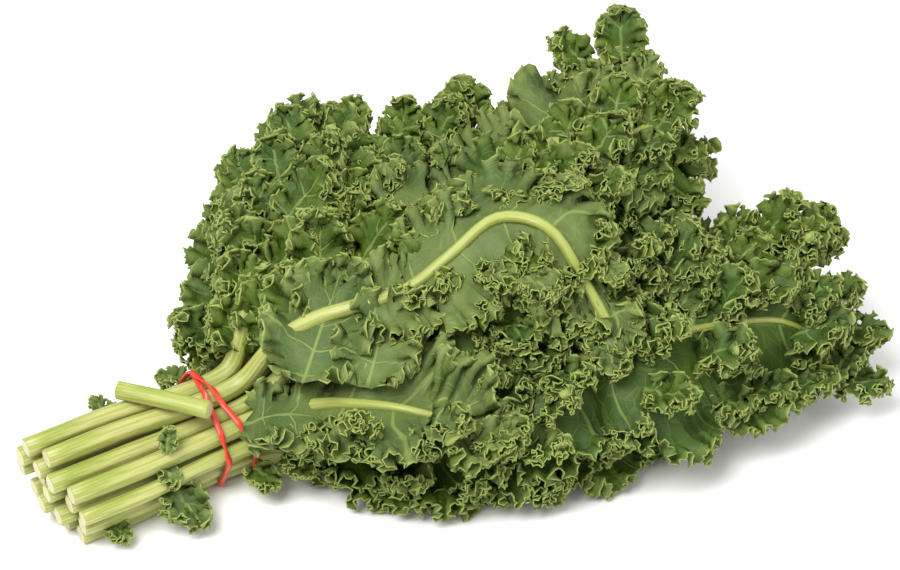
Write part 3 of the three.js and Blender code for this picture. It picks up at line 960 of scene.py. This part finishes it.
class Frills:
    """Works frills into a sheet, from its large waves to its smallest."""

    def __init__(self, rng: np.random.Generator, size: float, ruffles: tuple[Ruffle, ...]) -> None:
        """Keeps the random draws.

        Args:
            rng: the random draws.
            size: how strong the frills are.
            ruffles: the sizes of wave, from the largest to the smallest.
        """
        self.rng = rng
        self.size = size
        self.ruffles = ruffles

    @staticmethod
    def _directions(sheet: np.ndarray, soft: int) -> tuple[np.ndarray, np.ndarray, np.ndarray]:
        """The sheet's directions at every point.

        Args:
            sheet: rows of points from the midrib to the edge.
            soft: how many columns the directions are averaged over.

        Returns:
            Unit vectors along the edge, out to it, and up from the sheet.
        """
        along = unit(blurred(np.gradient(sheet, axis=1), soft, 1))
        out = unit(blurred(np.gradient(sheet, axis=0), soft, 1))
        up = unit(np.cross(along, out))
        return along, out, up

    @staticmethod
    def _run(sheet: np.ndarray) -> np.ndarray:
        """How far each column lies along the sheet's edge.

        Args:
            sheet: rows of points from the midrib to the edge.

        Returns:
            The distances from the edge's start.
        """
        steps = np.linalg.norm(np.diff(sheet[-1], axis=0), axis=1)
        return np.concatenate([[0.0], np.cumsum(steps)])

    def worked(
        self, sheet: np.ndarray, margin: np.ndarray, large: tuple[np.ndarray, np.ndarray],
    ) -> np.ndarray:
        """Adds every size of wave in turn, each square to the sheet that the last one left.

        Args:
            sheet: rows of points from the midrib to the edge.
            margin: each point's distance from the edge.
            large: the phase and the height of the large waves.

        Returns:
            The frilled sheet.
        """
        phase, height = large
        along, _, up = self._directions(sheet, 12)
        fade = np.clip(1 - margin / WAVE_FADE, 0, 1)[..., None]
        lean = (np.abs(height) * np.sin(2 * phase) * WAVE_LEAN)[..., None]
        sheet = sheet + up * height[..., None] * WAVE_GAIN - along * lean * fade
        for ruffle in self.ruffles:
            sheet = self._ruffled(sheet, margin, ruffle)
        return self._toothed(sheet, margin)

    def _ruffled(self, sheet: np.ndarray, margin: np.ndarray, ruffle: Ruffle) -> np.ndarray:
        """Adds one size of wave.

        Args:
            sheet: rows of points.
            margin: each point's distance from the edge.
            ruffle: the wave.

        Returns:
            The ruffled sheet.
        """
        run = self._run(sheet)
        per_column = run[-1] / len(run)
        along, out, up = self._directions(sheet, max(1, int(ruffle.length * 0.3 / per_column)))
        sweep = margin / ruffle.depth
        drift = smooth_noise(self.rng, run, ruffle.length * 4.3)
        bent = smooth_noise(self.rng, run, ruffle.length * 3)
        phase = 2 * np.pi * run / ruffle.length + 1.5 * drift
        phase = phase[None, :] + 1.2 * sweep * bent[None, :]
        strength = 1 + 0.35 * smooth_noise(self.rng, run, ruffle.length * 2.7)
        depth = ruffle.depth * (1 + 0.25 * smooth_noise(self.rng, run, ruffle.length * 5))
        inward = np.clip(1 - margin / depth[None, :], 0, 1) ** ruffle.power
        inward = inward * strength[None, :] * self.size
        rise = ruffle.height * inward * np.sin(phase)
        lean = ruffle.pinch * ruffle.length * inward * np.sin(2 * phase)
        spill = 0.25 * ruffle.height * inward * np.cos(2 * phase + 0.7)
        return sheet + up * rise[..., None] - along * lean[..., None] + out * spill[..., None]

    def _toothed(self, sheet: np.ndarray, margin: np.ndarray) -> np.ndarray:
        """Adds the small teeth of the edge.

        Args:
            sheet: rows of points.
            margin: each point's distance from the edge.

        Returns:
            The toothed sheet.
        """
        run = self._run(sheet)
        _, out, up = self._directions(sheet, 1)
        beat = 2 * np.pi * run / TOOTH_LENGTH + 2 * smooth_noise(self.rng, run, 17.0)
        tooth = 0.55 * np.abs(np.sin(beat / 2)) ** 0.7 + 0.5 * smooth_noise(self.rng, run, 9.0)
        tooth = tooth * np.clip(1 - margin / TOOTH_DEPTH, 0, 1)
        curl = 0.5 * np.sin(beat * 0.5 + 1.0) * np.clip(1 - margin / TOOTH_CURL_DEPTH, 0, 1)
        return sheet + out * tooth[..., None] + up * curl[..., None]


def branched(sheet: np.ndarray, margin: np.ndarray, flat: np.ndarray, levels: Rows) -> Shell:
    """Joins rows of points whose columns double towards the edge into a thin shell.

    Args:
        sheet: rows of points from the midrib to the edge, round the whole blade.
        margin: each point's distance from the edge.
        flat: each point's place on the flat blade.
        levels: each row's share of the way to the edge and its step from column to column.

    Returns:
        The shell, with its values for the finish.
    """
    number = np.full(sheet.shape[:2], -1, dtype=int)
    columns = sheet.shape[1] - 1
    total = 0
    for r, (_, stride) in enumerate(levels):
        used = np.arange(0, columns + 1, stride)
        if r == 0:
            used = used[used <= columns // 2]
        number[r, used] = total + np.arange(len(used))
        total += len(used)
    mirror = columns - np.arange(columns + 1)
    number[0] = np.where(number[0] < 0, number[0][mirror], number[0])
    faces = []
    for r in range(len(levels) - 1):
        coarse, fine = levels[r][1], levels[r + 1][1]
        at = np.arange(0, columns, coarse)
        a, b = number[r, at], number[r, at + coarse]
        if coarse == fine:
            c, d = number[r + 1, at], number[r + 1, at + coarse]
            faces += [np.stack([a, b, d], axis=1), np.stack([a, d, c], axis=1)]
        else:
            c, m, d = (number[r + 1, at + k * fine] for k in range(3))
            faces += [np.stack(corners, axis=1) for corners in ((a, m, c), (a, b, m), (b, d, m))]
    faces = np.concatenate(faces)
    faces = faces[(faces != np.roll(faces, -1, axis=1)).all(axis=1)]
    rows, cols = np.nonzero(number >= 0)
    order = np.argsort(number[rows, cols], kind="stable")
    rows, cols = rows[order], cols[order]
    keep = np.unique(number[rows, cols], return_index=True)[1]
    rows, cols = rows[keep], cols[keep]
    points, solid_faces = thickened(sheet[rows, cols], faces, SHEET)
    count = len(rows)
    return Shell(points, solid_faces, {
        "edge": np.tile(margin[rows, cols], 2),
        "under": np.repeat([0.0, 1.0], count),
        "flat": np.tile(flat[rows, cols], (2, 1)),
    })


class Stalk:
    """A ribbed stem with rounded cut ends."""

    SIDES = 20
    PER_SPAN = 5
    CAP = ((0.93, 0.35), (0.86, 0.45), (0.5, 0.5))
    CUT = (0.45, 0.9, 1.0)
    FLUTES = ((0.045, 5), (0.03, 8), (0.018, 13))

    def __init__(
        self, centres: np.ndarray, radii: np.ndarray, seed: int, tip: bool = True,
    ) -> None:
        """Keeps the stem's line.

        Args:
            centres: points along its middle.
            radii: its radius at each.
            seed: the start of its random draws.
            tip: True if it ends in the tip of a midrib and not in a second cut.
        """
        self.line = Curve(centres, per_span=self.PER_SPAN)
        knots = np.arange(len(centres)) * self.PER_SPAN
        self.radii = np.interp(self.line.along, self.line.along[knots], radii)
        self.rng = np.random.default_rng(seed)
        self.tip = tip

    def shell(self) -> Shell:
        """The stem as a mesh.

        Returns:
            A closed shell.
        """
        centres = self.line.points
        along = unit(np.gradient(centres, axis=0))
        across = unit(np.stack([-along[:, 1], along[:, 0], np.zeros(len(along))], axis=-1))
        up = np.cross(along, across)
        n = self.SIDES
        angle = np.linspace(0, 2 * np.pi, n, endpoint=False)
        turn = self.rng.uniform(0, 2 * np.pi, 3)
        flutes = sum(
            depth * np.cos(count * angle + start)
            for (depth, count), start in zip(self.FLUTES, turn)
        )
        bumps = 0.02 * smooth_noise(self.rng, self.line.along, 60)
        size = self.radii[:, None] * (0.975 + flutes[None, :] + bumps[:, None])
        ring = (across[:, None] * np.sin(angle)[None, :, None]
                + up[:, None] * np.cos(angle)[None, :, None])
        body = (centres[:, None] + ring * size[..., None]).reshape(-1, 3)
        caps = []
        for which, way in ((0, -1.0), (-1, 1.0)):
            end, out = centres[which], along[which] * way
            rows = [
                end + out * push + ring[which] * (size[which] * scale)[:, None]
                for scale, push in self.CAP
            ]
            caps.append([*rows, (end + out * self.CAP[-1][1])[None]])
        points = np.concatenate([*caps[0][::-1], body, *caps[1]])
        cut = np.append(np.repeat(self.CUT, n), 1.0)
        hub = np.append(np.repeat([scale for scale, _ in self.CAP], n), 0.0)
        cap = len(self.CAP) * n + 1
        run = np.concatenate([
            np.zeros(cap), np.repeat(self.line.along, n), np.full(cap, self.line.length),
        ])
        count = len(centres) + 2 * len(self.CAP)
        sides = np.tile(angle, count)
        middle = np.zeros((1, 2))
        round_ = np.concatenate([middle, np.stack([np.cos(sides), np.sin(sides)], axis=1), middle])
        return Shell(points, self._faces(count), {
            "cut": np.concatenate([cut[::-1], np.zeros(len(body)), cut * (not self.tip)]),
            "hub": np.concatenate([hub[::-1], np.ones(len(body)), hub]),
            "grain": np.column_stack([round_, run / 100]),
            "share": run / self.line.length,
        })

    def _faces(self, count: int) -> np.ndarray:
        """The triangles between the stem's rings and at its two ends.

        Args:
            count: how many rings it has.

        Returns:
            The triangles.
        """
        n = self.SIDES
        k = np.arange(n)
        after = (k + 1) % n
        start = 1 + np.arange(count - 1)[:, None] * n
        a, b, c, d = (start + k), (start + after), (start + n + after), (start + n + k)
        last = 1 + (count - 1) * n
        return np.concatenate([
            np.stack([a, c, b], axis=-1).reshape(-1, 3),
            np.stack([a, d, c], axis=-1).reshape(-1, 3),
            np.stack([np.zeros(n, dtype=int), 1 + k, 1 + after], axis=-1),
            np.stack([np.full(n, 1 + count * n), last + after, last + k], axis=-1),
        ])


class RubberBand:
    """The flat rubber loop drawn tight round the stems, twice."""

    STEPS = 420
    CORNERS = (
        (-1, -0.7), (-0.93, -1), (0.93, -1), (1, -0.7), (1, 0.7), (0.93, 1), (-0.93, 1), (-1, 0.7),
    )

    def _outline(self, angle: np.ndarray, spread: np.ndarray, middle: np.ndarray) -> np.ndarray:
        """The bundle's outline where the band runs.

        Args:
            angle: angles round the bundle.
            spread: how far the stems are parted at each.
            middle: the bundle's middle.

        Returns:
            The outline's distance from the middle at each angle.
        """
        angles = np.linspace(0, 2 * np.pi, 360, endpoint=False)
        facing = np.stack([np.cos(angles), np.sin(angles)], axis=1)
        lean = np.cos(angle[:, None] - angles[None, :])
        sizes = []
        for opened in (1.0, 1.0 + OPENING):
            stems = np.array([seat(plan, opened) for plan in LEAVES]) - middle
            supports = (stems @ facing.T).max(axis=0) + STEM_RADIUS
            far = np.where(lean > 0.2, supports[None, :] / np.maximum(lean, 0.2), np.inf)
            sizes.append(far.min(axis=1))
        return sizes[0] + (sizes[1] - sizes[0]) * spread

    def shell(self) -> Shell:
        """The band as a mesh.

        Returns:
            A closed shell.
        """
        middle = np.array([BUNDLE_Y, BUNDLE_LIFT + 1.8 * ROW_RISE])
        turn = 2 * np.arange(self.STEPS) / self.STEPS
        angle = BAND_START + turn * 2 * np.pi
        crossing = np.clip(2.2 - np.abs(turn - 1) * 18, 0, 1)
        crossing = crossing * crossing * (3 - 2 * crossing)
        x = BAND_X - 2 - 9 * np.sin(np.pi * turn) - 3 * np.cos(2 * np.pi * turn)
        spread = np.clip((x - BAND_X + STRAIGHT) / (2 * STRAIGHT), 0, 1)
        size = self._outline(angle, spread, middle) + BAND_GAP + BAND_THICK / 2 + 1.8 * crossing
        centre = np.stack([
            x, middle[0] + size * np.cos(angle), middle[1] + size * np.sin(angle),
        ], axis=1)
        along = unit(np.roll(centre, -1, axis=0) - np.roll(centre, 1, axis=0))
        out = unit(np.cross(along, np.array([1.0, 0.0, 0.0])))
        wide = np.cross(out, along)
        sway = 0.16 * np.sin(angle * 2.0 + 0.4) + 1.1 * np.sin(angle * 2.5 + 0.9) ** 9
        out, wide = (out * np.cos(sway)[:, None] + wide * np.sin(sway)[:, None],
                     wide * np.cos(sway)[:, None] - out * np.sin(sway)[:, None])
        corner = np.array(self.CORNERS)
        rows = (centre[:, None] + wide[:, None] * corner[None, :, :1] * BAND_WIDTH / 2
                + out[:, None] * corner[None, :, 1:] * BAND_THICK / 2)
        n = len(corner)
        k = np.arange(n)
        start = np.arange(self.STEPS)[:, None] * n
        ahead = (np.arange(self.STEPS)[:, None] + 1) % self.STEPS * n
        a, b = start + k, start + (k + 1) % n
        c, d = ahead + (k + 1) % n, ahead + k
        faces = np.concatenate([
            np.stack(corners, axis=-1).reshape(-1, 3) for corners in ((a, b, c), (a, c, d))
        ])
        return Shell(rows.reshape(-1, 3), faces)


# Finishes


class Value:
    """A shader socket that takes part in sums."""

    def __init__(self, graph: Graph, socket: Any) -> None:
        """Keeps the socket.

        Args:
            graph: the material's nodes.
            socket: the output socket.
        """
        self.graph = graph
        self.socket = socket

    def _math(self, operation: str, *others: Any) -> Value:
        """One Math node.

        Args:
            operation: what it does.
            others: the other inputs.

        Returns:
            Its output.
        """
        inputs = dict(enumerate((self, *others)))
        node = self.graph.node("ShaderNodeMath", {"operation": operation}, inputs)
        return Value(self.graph, node.outputs[0])

    def __add__(self, other: Any) -> Value:
        """The sum."""
        return self._math("ADD", other)

    def __sub__(self, other: Any) -> Value:
        """This value less the other."""
        return self._math("SUBTRACT", other)

    def __rsub__(self, other: Any) -> Value:
        """The other less this value."""
        return self._math("MULTIPLY", -1.0)._math("ADD", other)

    def __mul__(self, other: Any) -> Value:
        """The product."""
        return self._math("MULTIPLY", other)

    def __truediv__(self, other: Any) -> Value:
        """This value over the other."""
        return self._math("DIVIDE", other)

    __radd__ = __add__
    __rmul__ = __mul__

    def fraction(self) -> Value:
        """The part after the point."""
        return self._math("FRACT")

    def size(self) -> Value:
        """The value without its sign."""
        return self._math("ABSOLUTE")

    def larger(self, other: Any) -> Value:
        """The larger of two values."""
        return self._math("MAXIMUM", other)

    def ramp(self, low: Any, high: Any, start: float = 0.0, end: float = 1.0) -> Value:
        """A smooth step from start to end as the value goes from low to high."""
        node = self.graph.node(
            "ShaderNodeMapRange", {"interpolation_type": "SMOOTHSTEP"},
            {"Value": self, "From Min": low, "From Max": high, "To Min": start, "To Max": end})
        return Value(self.graph, node.outputs[0])


class Graph:
    """A material's nodes."""

    def __init__(self, name: str) -> None:
        """Starts an empty material.

        Args:
            name: the material's name.
        """
        self.material = bpy.data.materials.new(name)
        self.material.use_nodes = True
        self.tree = self.material.node_tree
        self.tree.nodes.clear()

    def node(
        self, kind: str, settings: dict[str, Any] | None = None,
        inputs: dict[Any, Any] | None = None,
    ) -> Any:
        """Adds one node.

        Args:
            kind: the node's type.
            settings: its properties.
            inputs: its inputs by name or number, each a value or an output.

        Returns:
            The node.
        """
        node = self.tree.nodes.new(kind)
        for key, value in (settings or {}).items():
            setattr(node, key, value)
        for key, value in (inputs or {}).items():
            if isinstance(value, Value):
                self.tree.links.new(value.socket, node.inputs[key])
            else:
                node.inputs[key].default_value = value
        return node

    def read(self, name: str, output: str = "Fac") -> Value:
        """Reads one of the mesh's values.

        Args:
            name: the value's name.
            output: the output to read it from.

        Returns:
            The value.
        """
        node = self.node("ShaderNodeAttribute", {"attribute_name": name})
        return Value(self, node.outputs[output])

    def parts(self, vector: Value) -> tuple[Value, Value, Value]:
        """Splits a vector.

        Args:
            vector: the vector.

        Returns:
            Its x, y and z.
        """
        node = self.node("ShaderNodeSeparateXYZ", {}, {0: vector})
        return tuple(Value(self, out) for out in node.outputs[:3])

    def vector(self, x: Any, y: Any, z: Any = 0.0) -> Value:
        """Puts a vector together.

        Args:
            x: its first value.
            y: its second.
            z: its third.

        Returns:
            The vector.
        """
        return Value(self, self.node("ShaderNodeCombineXYZ", {}, {0: x, 1: y, 2: z}).outputs[0])

    def noise(self, where: Value, scale: float, detail: float = 3.0) -> Value:
        """Smooth noise from 0 to 1.

        Args:
            where: the coordinates.
            scale: how fine it is.
            detail: how many finer layers it has.

        Returns:
            The noise.
        """
        node = self.node("ShaderNodeTexNoise", {"noise_dimensions": "3D"},
                         {"Vector": where, "Scale": scale, "Detail": detail})
        return Value(self, node.outputs["Fac"])

    def net(self, where: Value, scale: float) -> Value:
        """The distance to the nearest line of an uneven net.

        Args:
            where: the coordinates.
            scale: how fine the net is.

        Returns:
            The distance, in meshes of the net.
        """
        node = self.node("ShaderNodeTexVoronoi", {"feature": "DISTANCE_TO_EDGE"},
                         {"Vector": where, "Scale": scale})
        return Value(self, node.outputs["Distance"])

    def mix(self, share: Any, first: Any, second: Any) -> Value:
        """Mixes two colours.

        Args:
            share: how much of the second.
            first: the first colour.
            second: the second.

        Returns:
            The colour between them.
        """
        colours = [(*c, 1.0) if isinstance(c, tuple) else c for c in (first, second)]
        node = self.node("ShaderNodeMix", {"data_type": "RGBA"},
                         {0: share, 6: colours[0], 7: colours[1]})
        return Value(self, node.outputs[2])

    def place(self) -> Value:
        """Where a point of the object lies.

        Returns:
            Its Object coordinates.
        """
        return Value(self, self.node("ShaderNodeTexCoord").outputs["Object"])

    def bump(self, height: Value, strength: float, distance: float) -> Value:
        """A relief of the surface.

        Args:
            height: how high each point lies.
            strength: how strong the relief is.
            distance: its depth in metres.

        Returns:
            The normal.
        """
        node = self.node("ShaderNodeBump", {},
                         {"Strength": strength, "Distance": distance, "Height": height})
        return Value(self, node.outputs[0])

    def finish(self, shader: Any) -> bpy.types.Material:
        """Puts the shader on the material.

        Args:
            shader: the last shader node.

        Returns:
            The material.
        """
        out = self.node("ShaderNodeOutputMaterial")
        self.tree.links.new(shader.outputs[0], out.inputs["Surface"])
        return self.material


Colour = tuple[float, float, float]


@dataclass(frozen=True)
class BladeFinish:
    """Leaf blade: green above and greyer below, with pale veins and a pale edge."""

    name: str
    upper: Colour = (0.048, 0.1, 0.009)
    upper_light: Colour = (0.105, 0.175, 0.016)
    under: Colour = (0.13, 0.185, 0.05)
    under_light: Colour = (0.18, 0.245, 0.07)
    cool: Colour = (0.055, 0.115, 0.035)
    vein: Colour = (0.25, 0.33, 0.09)
    edge: Colour = (0.42, 0.5, 0.13)
    glow: Colour = (0.16, 0.27, 0.02)
    thin: float = 0.3
    roughness: float = 0.5
    specular: float = 0.22

    def material(self) -> bpy.types.Material:
        """Builds the finish.

        Returns:
            The material.
        """
        g = Graph(self.name)
        flat = g.read("flat", "Vector")
        along, across, outward = g.parts(flat)
        margin = g.read("edge")
        under = g.read("under")
        patch = g.noise(flat, 0.06)
        body = g.mix(under, g.mix(patch.ramp(0.35, 0.7), self.upper, self.upper_light),
                     g.mix(patch.ramp(0.35, 0.7), self.under, self.under_light))
        body = g.mix(g.noise(g.place(), 16.0, 1.0).ramp(0.42, 0.62, 0.0, 0.5), body, self.cool)
        wander = 8.0 * g.noise(flat, 0.05, 1.0)
        beat = ((along + wander) / VEIN_STEP).fraction() - 0.5
        side_vein = (beat.size() * VEIN_STEP) / (1.25 - 0.9 * outward)
        midrib = across.size().ramp(0.5, 1.3, 1.0, 0.0)
        large = side_vein.ramp(0.35, 1.0, 1.0, 0.0).larger(midrib)
        fine = g.net(g.vector(along, across), 0.2).ramp(0.015, 0.06, 1.0, 0.0)
        veins = (large * 0.95).larger(fine * 0.28)
        strength = under.ramp(0.0, 1.0, 0.75, 1.0)
        veined = g.mix(veins * strength, body, self.vein)
        rim = margin.ramp(0.1, 0.85, 0.85, 0.0).larger(margin.ramp(0.5, 8.0, 0.2, 0.0))
        colour = g.mix(rim, veined, self.edge)
        bump = g.bump(veins * (2.0 * under - 1.0) + 0.35 * g.noise(flat, 0.9, 2.0), 0.5, 0.0009)
        skin = g.node("ShaderNodeBsdfPrincipled", {}, {
            "Base Color": colour, "Roughness": self.roughness, "Normal": bump,
            "Specular IOR Level": self.specular})
        glow = g.node("ShaderNodeBsdfTranslucent", {}, {"Color": (*self.glow, 1.0), "Normal": bump})
        both = g.node("ShaderNodeMixShader", {}, {0: self.thin})
        g.tree.links.new(skin.outputs[0], both.inputs[1])
        g.tree.links.new(glow.outputs[0], both.inputs[2])
        return g.finish(both)


@dataclass(frozen=True)
class StemFinish:
    """Kale stem: pale yellow-green with green streaks, and a beige cut."""

    name: str
    pale: Colour = (0.42, 0.41, 0.14)
    green: Colour = (0.24, 0.29, 0.045)
    leafward: Colour = (0.28, 0.33, 0.06)
    cut: Colour = (0.5, 0.47, 0.25)
    pith: Colour = (0.5, 0.5, 0.27)
    bark: Colour = (0.33, 0.24, 0.1)
    roughness: float = 0.42
    specular: float = 0.45

    def material(self) -> bpy.types.Material:
        """Builds the finish.

        Returns:
            The material.
        """
        g = Graph(self.name)
        grain = g.read("grain", "Vector")
        cut = g.read("cut")
        hub = g.read("hub")
        share = g.read("share")
        streaks = g.noise(grain, 3.2, 4.0)
        fine = g.noise(grain, 9.0, 2.0)
        side = g.mix(streaks.ramp(0.38, 0.66), self.pale, self.green)
        side = g.mix(share.ramp(0.2, 0.75, 0.0, 0.7), side, self.leafward)
        middle = g.mix(fine.ramp(0.3, 0.7), self.cut, self.pith)
        face = g.mix(hub.ramp(0.8, 0.95), middle, self.bark)
        bump = g.bump(streaks + 0.4 * fine, 0.5, 0.0005)
        return g.finish(g.node("ShaderNodeBsdfPrincipled", {}, {
            "Base Color": g.mix(cut.ramp(0.2, 0.6), side, face), "Roughness": self.roughness,
            "Normal": bump, "Specular IOR Level": self.specular}))


@dataclass(frozen=True)
class RubberFinish:
    """Red rubber with a soft gloss."""

    name: str
    red: Colour = (0.6, 0.03, 0.012)
    worn: Colour = (0.66, 0.06, 0.03)
    roughness: float = 0.36
    specular: float = 0.5

    def material(self) -> bpy.types.Material:
        """Builds the finish.

        Returns:
            The material.
        """
        g = Graph(self.name)
        patch = g.noise(g.place(), 260.0, 2.0)
        return g.finish(g.node("ShaderNodeBsdfPrincipled", {}, {
            "Base Color": g.mix(patch.ramp(0.4, 0.7), self.red, self.worn),
            "Roughness": self.roughness, "Specular IOR Level": self.specular}))


@dataclass(frozen=True)
class TableFinish:
    """A plain pale surface."""

    name: str
    colour: Colour = (0.93, 0.925, 0.91)
    roughness: float = 0.7

    def material(self) -> bpy.types.Material:
        """Builds the finish.

        Returns:
            The material.
        """
        g = Graph(self.name)
        return g.finish(g.node("ShaderNodeBsdfPrincipled", {}, {
            "Base Color": (*self.colour, 1.0), "Roughness": self.roughness}))


# The scene


class Builder:
    """Turns shells into pieces of the scene."""

    def __init__(self, frame: Frame) -> None:
        """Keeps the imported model.

        Args:
            frame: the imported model.
        """
        self.frame = frame
        self.triangles = 0

    def piece(
        self, name: str, shell: Shell, material: bpy.types.Material, slot: str, node: str,
    ) -> None:
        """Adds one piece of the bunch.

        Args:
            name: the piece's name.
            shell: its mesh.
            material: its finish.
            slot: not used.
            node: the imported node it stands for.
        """
        count = len(shell.faces)
        mesh = bpy.data.meshes.new(name)
        mesh.vertices.add(len(shell.points))
        placed = self.frame.placed(shell.points).astype(np.float32)
        mesh.vertices.foreach_set("co", placed.ravel())
        mesh.loops.add(count * 3)
        mesh.loops.foreach_set("vertex_index", shell.faces.astype(np.int32).ravel())
        mesh.polygons.add(count)
        mesh.polygons.foreach_set("loop_start", np.arange(0, count * 3, 3, dtype=np.int32))
        mesh.polygons.foreach_set("use_smooth", np.ones(count, dtype=bool))
        for key, values in shell.values.items():
            kind, part = ("FLOAT_VECTOR", "vector") if values.ndim == 2 else ("FLOAT", "value")
            data = mesh.attributes.new(key, kind, "POINT").data
            data.foreach_set(part, values.astype(np.float32).ravel())
        mesh.materials.append(material)
        mesh.update(calc_edges=True)
        mesh.validate()
        piece = bpy.data.objects.new(name, mesh)
        bpy.context.scene.collection.objects.link(piece)
        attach(piece, "root")
        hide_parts(node)
        self.triangles += count


class Bunch:
    """The whole bunch of kale."""

    def __init__(self, builder: Builder) -> None:
        """Builds every piece.

        Args:
            builder: what adds the pieces.
        """
        self.builder = builder
        self.blade = BladeFinish("kale_blade").material()
        self.stem = StemFinish("kale_stem").material()
        rubber = RubberFinish("red_rubber").material()
        for number, plan in enumerate(LEAVES):
            self._leaf(plan, number)
        for number, sprig in enumerate(SPRIGS):
            self._sprig(sprig, number)
        band = RubberBand().shell()
        builder.piece("rubber_band_fine", band, rubber, "band_red", "rubber_band")
        z = builder.frame.offcut_z - (OFFCUT_RADIUS - OFFCUT_SLIM)
        ends = np.array([(*OFFCUT_FROM, z), (*OFFCUT_MIDDLE, z + OFFCUT_BOW), (*OFFCUT_TO, z)])
        offcut = Stalk(ends, np.full(3, OFFCUT_SLIM), OFFCUT_SEED, tip=False).shell()
        builder.piece("stem_offcut_fine", offcut, self.stem, "stem_green", "stem_offcut")

    def _sprig(self, sprig: Sprig, number: int) -> None:
        """Adds a leaflet or a fold of leaf.

        Args:
            sprig: the leaflet.
            number: its number.
        """
        root, way = np.array(sprig.root, dtype=float), np.array(sprig.way, dtype=float)
        shell = lobe(root, way, sprig.long, np.random.default_rng(SPRIG_SEED + number))
        if sprig.pale:
            shell.values["under"] = np.ones_like(shell.values["under"])
        slot = "leaf_pale" if sprig.pale else "leaf_green"
        self.builder.piece(sprig.name, shell.settled(), self.blade, slot, sprig.on)

    def _leaf(self, plan: LeafPlan, number: int) -> None:
        """Adds one leaf: its stem and its blade.

        Args:
            plan: the leaf's plan.
            number: its number from the bottom.
        """
        leaf = Leaf(plan, self.builder.frame, LEAF_SEED + number)
        slot = "leaf_pale" if plan.tone is Tone.UNDER else "leaf_green"
        blade = leaf.blade()
        for ring in RINGS.get(plan.name, ()):
            blade = Shell.joined([blade, *leaf.lobes(ring)])
        if plan.tone is Tone.UNDER:
            blade.values["under"] = 1.0 - blade.values["under"]
        self.builder.piece(f"{plan.name}_blade", blade.settled(), self.blade, slot, plan.name)
        radii = np.maximum(leaf.radii, plan.rib_least)
        stalk = Stalk(leaf.core, radii, STEM_SEED + number).shell()
        self.builder.piece(f"{plan.name}_stem", stalk, self.stem, "stem_green", plan.name)


# The floor's half width and how far it lies under the bunch, in metres
FLOOR_HALF = 3.0
FLOOR_DROP = 0.0003


def add_floor() -> None:
    """Adds the plain pale floor."""
    mesh = bpy.data.meshes.new("floor")
    corners = [(x * FLOOR_HALF, y * FLOOR_HALF, -FLOOR_DROP)
               for x, y in ((-1, -1), (1, -1), (1, 1), (-1, 1))]
    mesh.from_pydata(corners, [], [(0, 1, 2, 3)])
    mesh.materials.append(TableFinish("pale_floor").material())
    floor = bpy.data.objects.new("floor", mesh)
    bpy.context.scene.collection.objects.link(floor)
    floor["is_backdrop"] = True


@dataclass(frozen=True)
class Lamp:
    """A soft square lamp that looks at the bunch."""

    name: str
    place: tuple[float, float, float]
    size: float
    power: float

    def add(self) -> None:
        """Adds the lamp."""
        data = bpy.data.lights.new(self.name, "AREA")
        data.shape = "SQUARE"
        data.size = self.size
        data.energy = self.power
        lamp = bpy.data.objects.new(self.name, data)
        lamp.location = self.place
        way = Vector(LAMP_AIM) - Vector(self.place)
        lamp.rotation_euler = way.to_track_quat("-Z", "Y").to_euler()
        bpy.context.scene.collection.objects.link(lamp)


LAMP_AIM = (0.0, 0.0, 0.03)
LAMPS = (
    Lamp("key", (-0.75, -0.35, 1.35), 0.8, 31.0),
    Lamp("fill", (0.9, -1.1, 1.0), 1.2, 9.0),
)
WORLD = (1.0, 1.0, 1.0)
WORLD_POWER = 0.68

# The camera, as the photograph was taken, in the drawing's millimetres
CAMERA_TURN = -32.0
CAMERA_RISE = 38.3
CAMERA_REACH = 1400.0
CAMERA_LENS = 109.8
CAMERA_SENSOR = 36.0
CAMERA_AIM = (251.0, 23.0, 49.0)


def add_camera(frame: Frame) -> None:
    """Adds the camera at the photograph's angle.

    Args:
        frame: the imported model.
    """
    turn, rise = np.radians(CAMERA_TURN), np.radians(CAMERA_RISE)
    back = np.array([np.sin(turn) * np.cos(rise), -np.cos(turn) * np.cos(rise), np.sin(rise)])
    right = np.array([np.cos(turn), np.sin(turn), 0.0])
    up = np.cross(back, right)
    place = frame.placed(np.array(CAMERA_AIM) + back * CAMERA_REACH)
    data = bpy.data.cameras.new("camera")
    data.lens = CAMERA_LENS
    data.sensor_width = CAMERA_SENSOR
    camera = bpy.data.objects.new("camera", data)
    matrix = np.eye(4)
    matrix[:3, 0], matrix[:3, 1], matrix[:3, 2], matrix[:3, 3] = right, up, back, place
    camera.matrix_world = Matrix(matrix.tolist())
    bpy.context.scene.collection.objects.link(camera)
    bpy.context.scene.camera = camera


def add_light() -> None:
    """Adds the lamps and the pale surroundings."""
    for lamp in LAMPS:
        lamp.add()
    world = bpy.data.worlds.new("studio")
    world.use_nodes = True
    background = world.node_tree.nodes["Background"]
    background.inputs["Color"].default_value = (*WORLD, 1.0)
    background.inputs["Strength"].default_value = WORLD_POWER
    bpy.context.scene.world = world
    bpy.context.scene.view_settings.view_transform = "Standard"


def main() -> None:
    """Builds the scene."""
    logging.basicConfig(level=logging.INFO, format="%(message)s", stream=sys.stdout)
    frame = Frame()
    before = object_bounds()
    builder = Builder(frame)
    Bunch(builder)
    add_floor()
    add_light()
    add_camera(frame)
    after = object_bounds()
    LOG.info("triangles %d", builder.triangles)
    rounded = [[np.round(corner, 4).tolist() for corner in box] for box in (before, after)]
    LOG.info("size before %s after %s", *rounded)


if __name__ == "__main__":
    main()
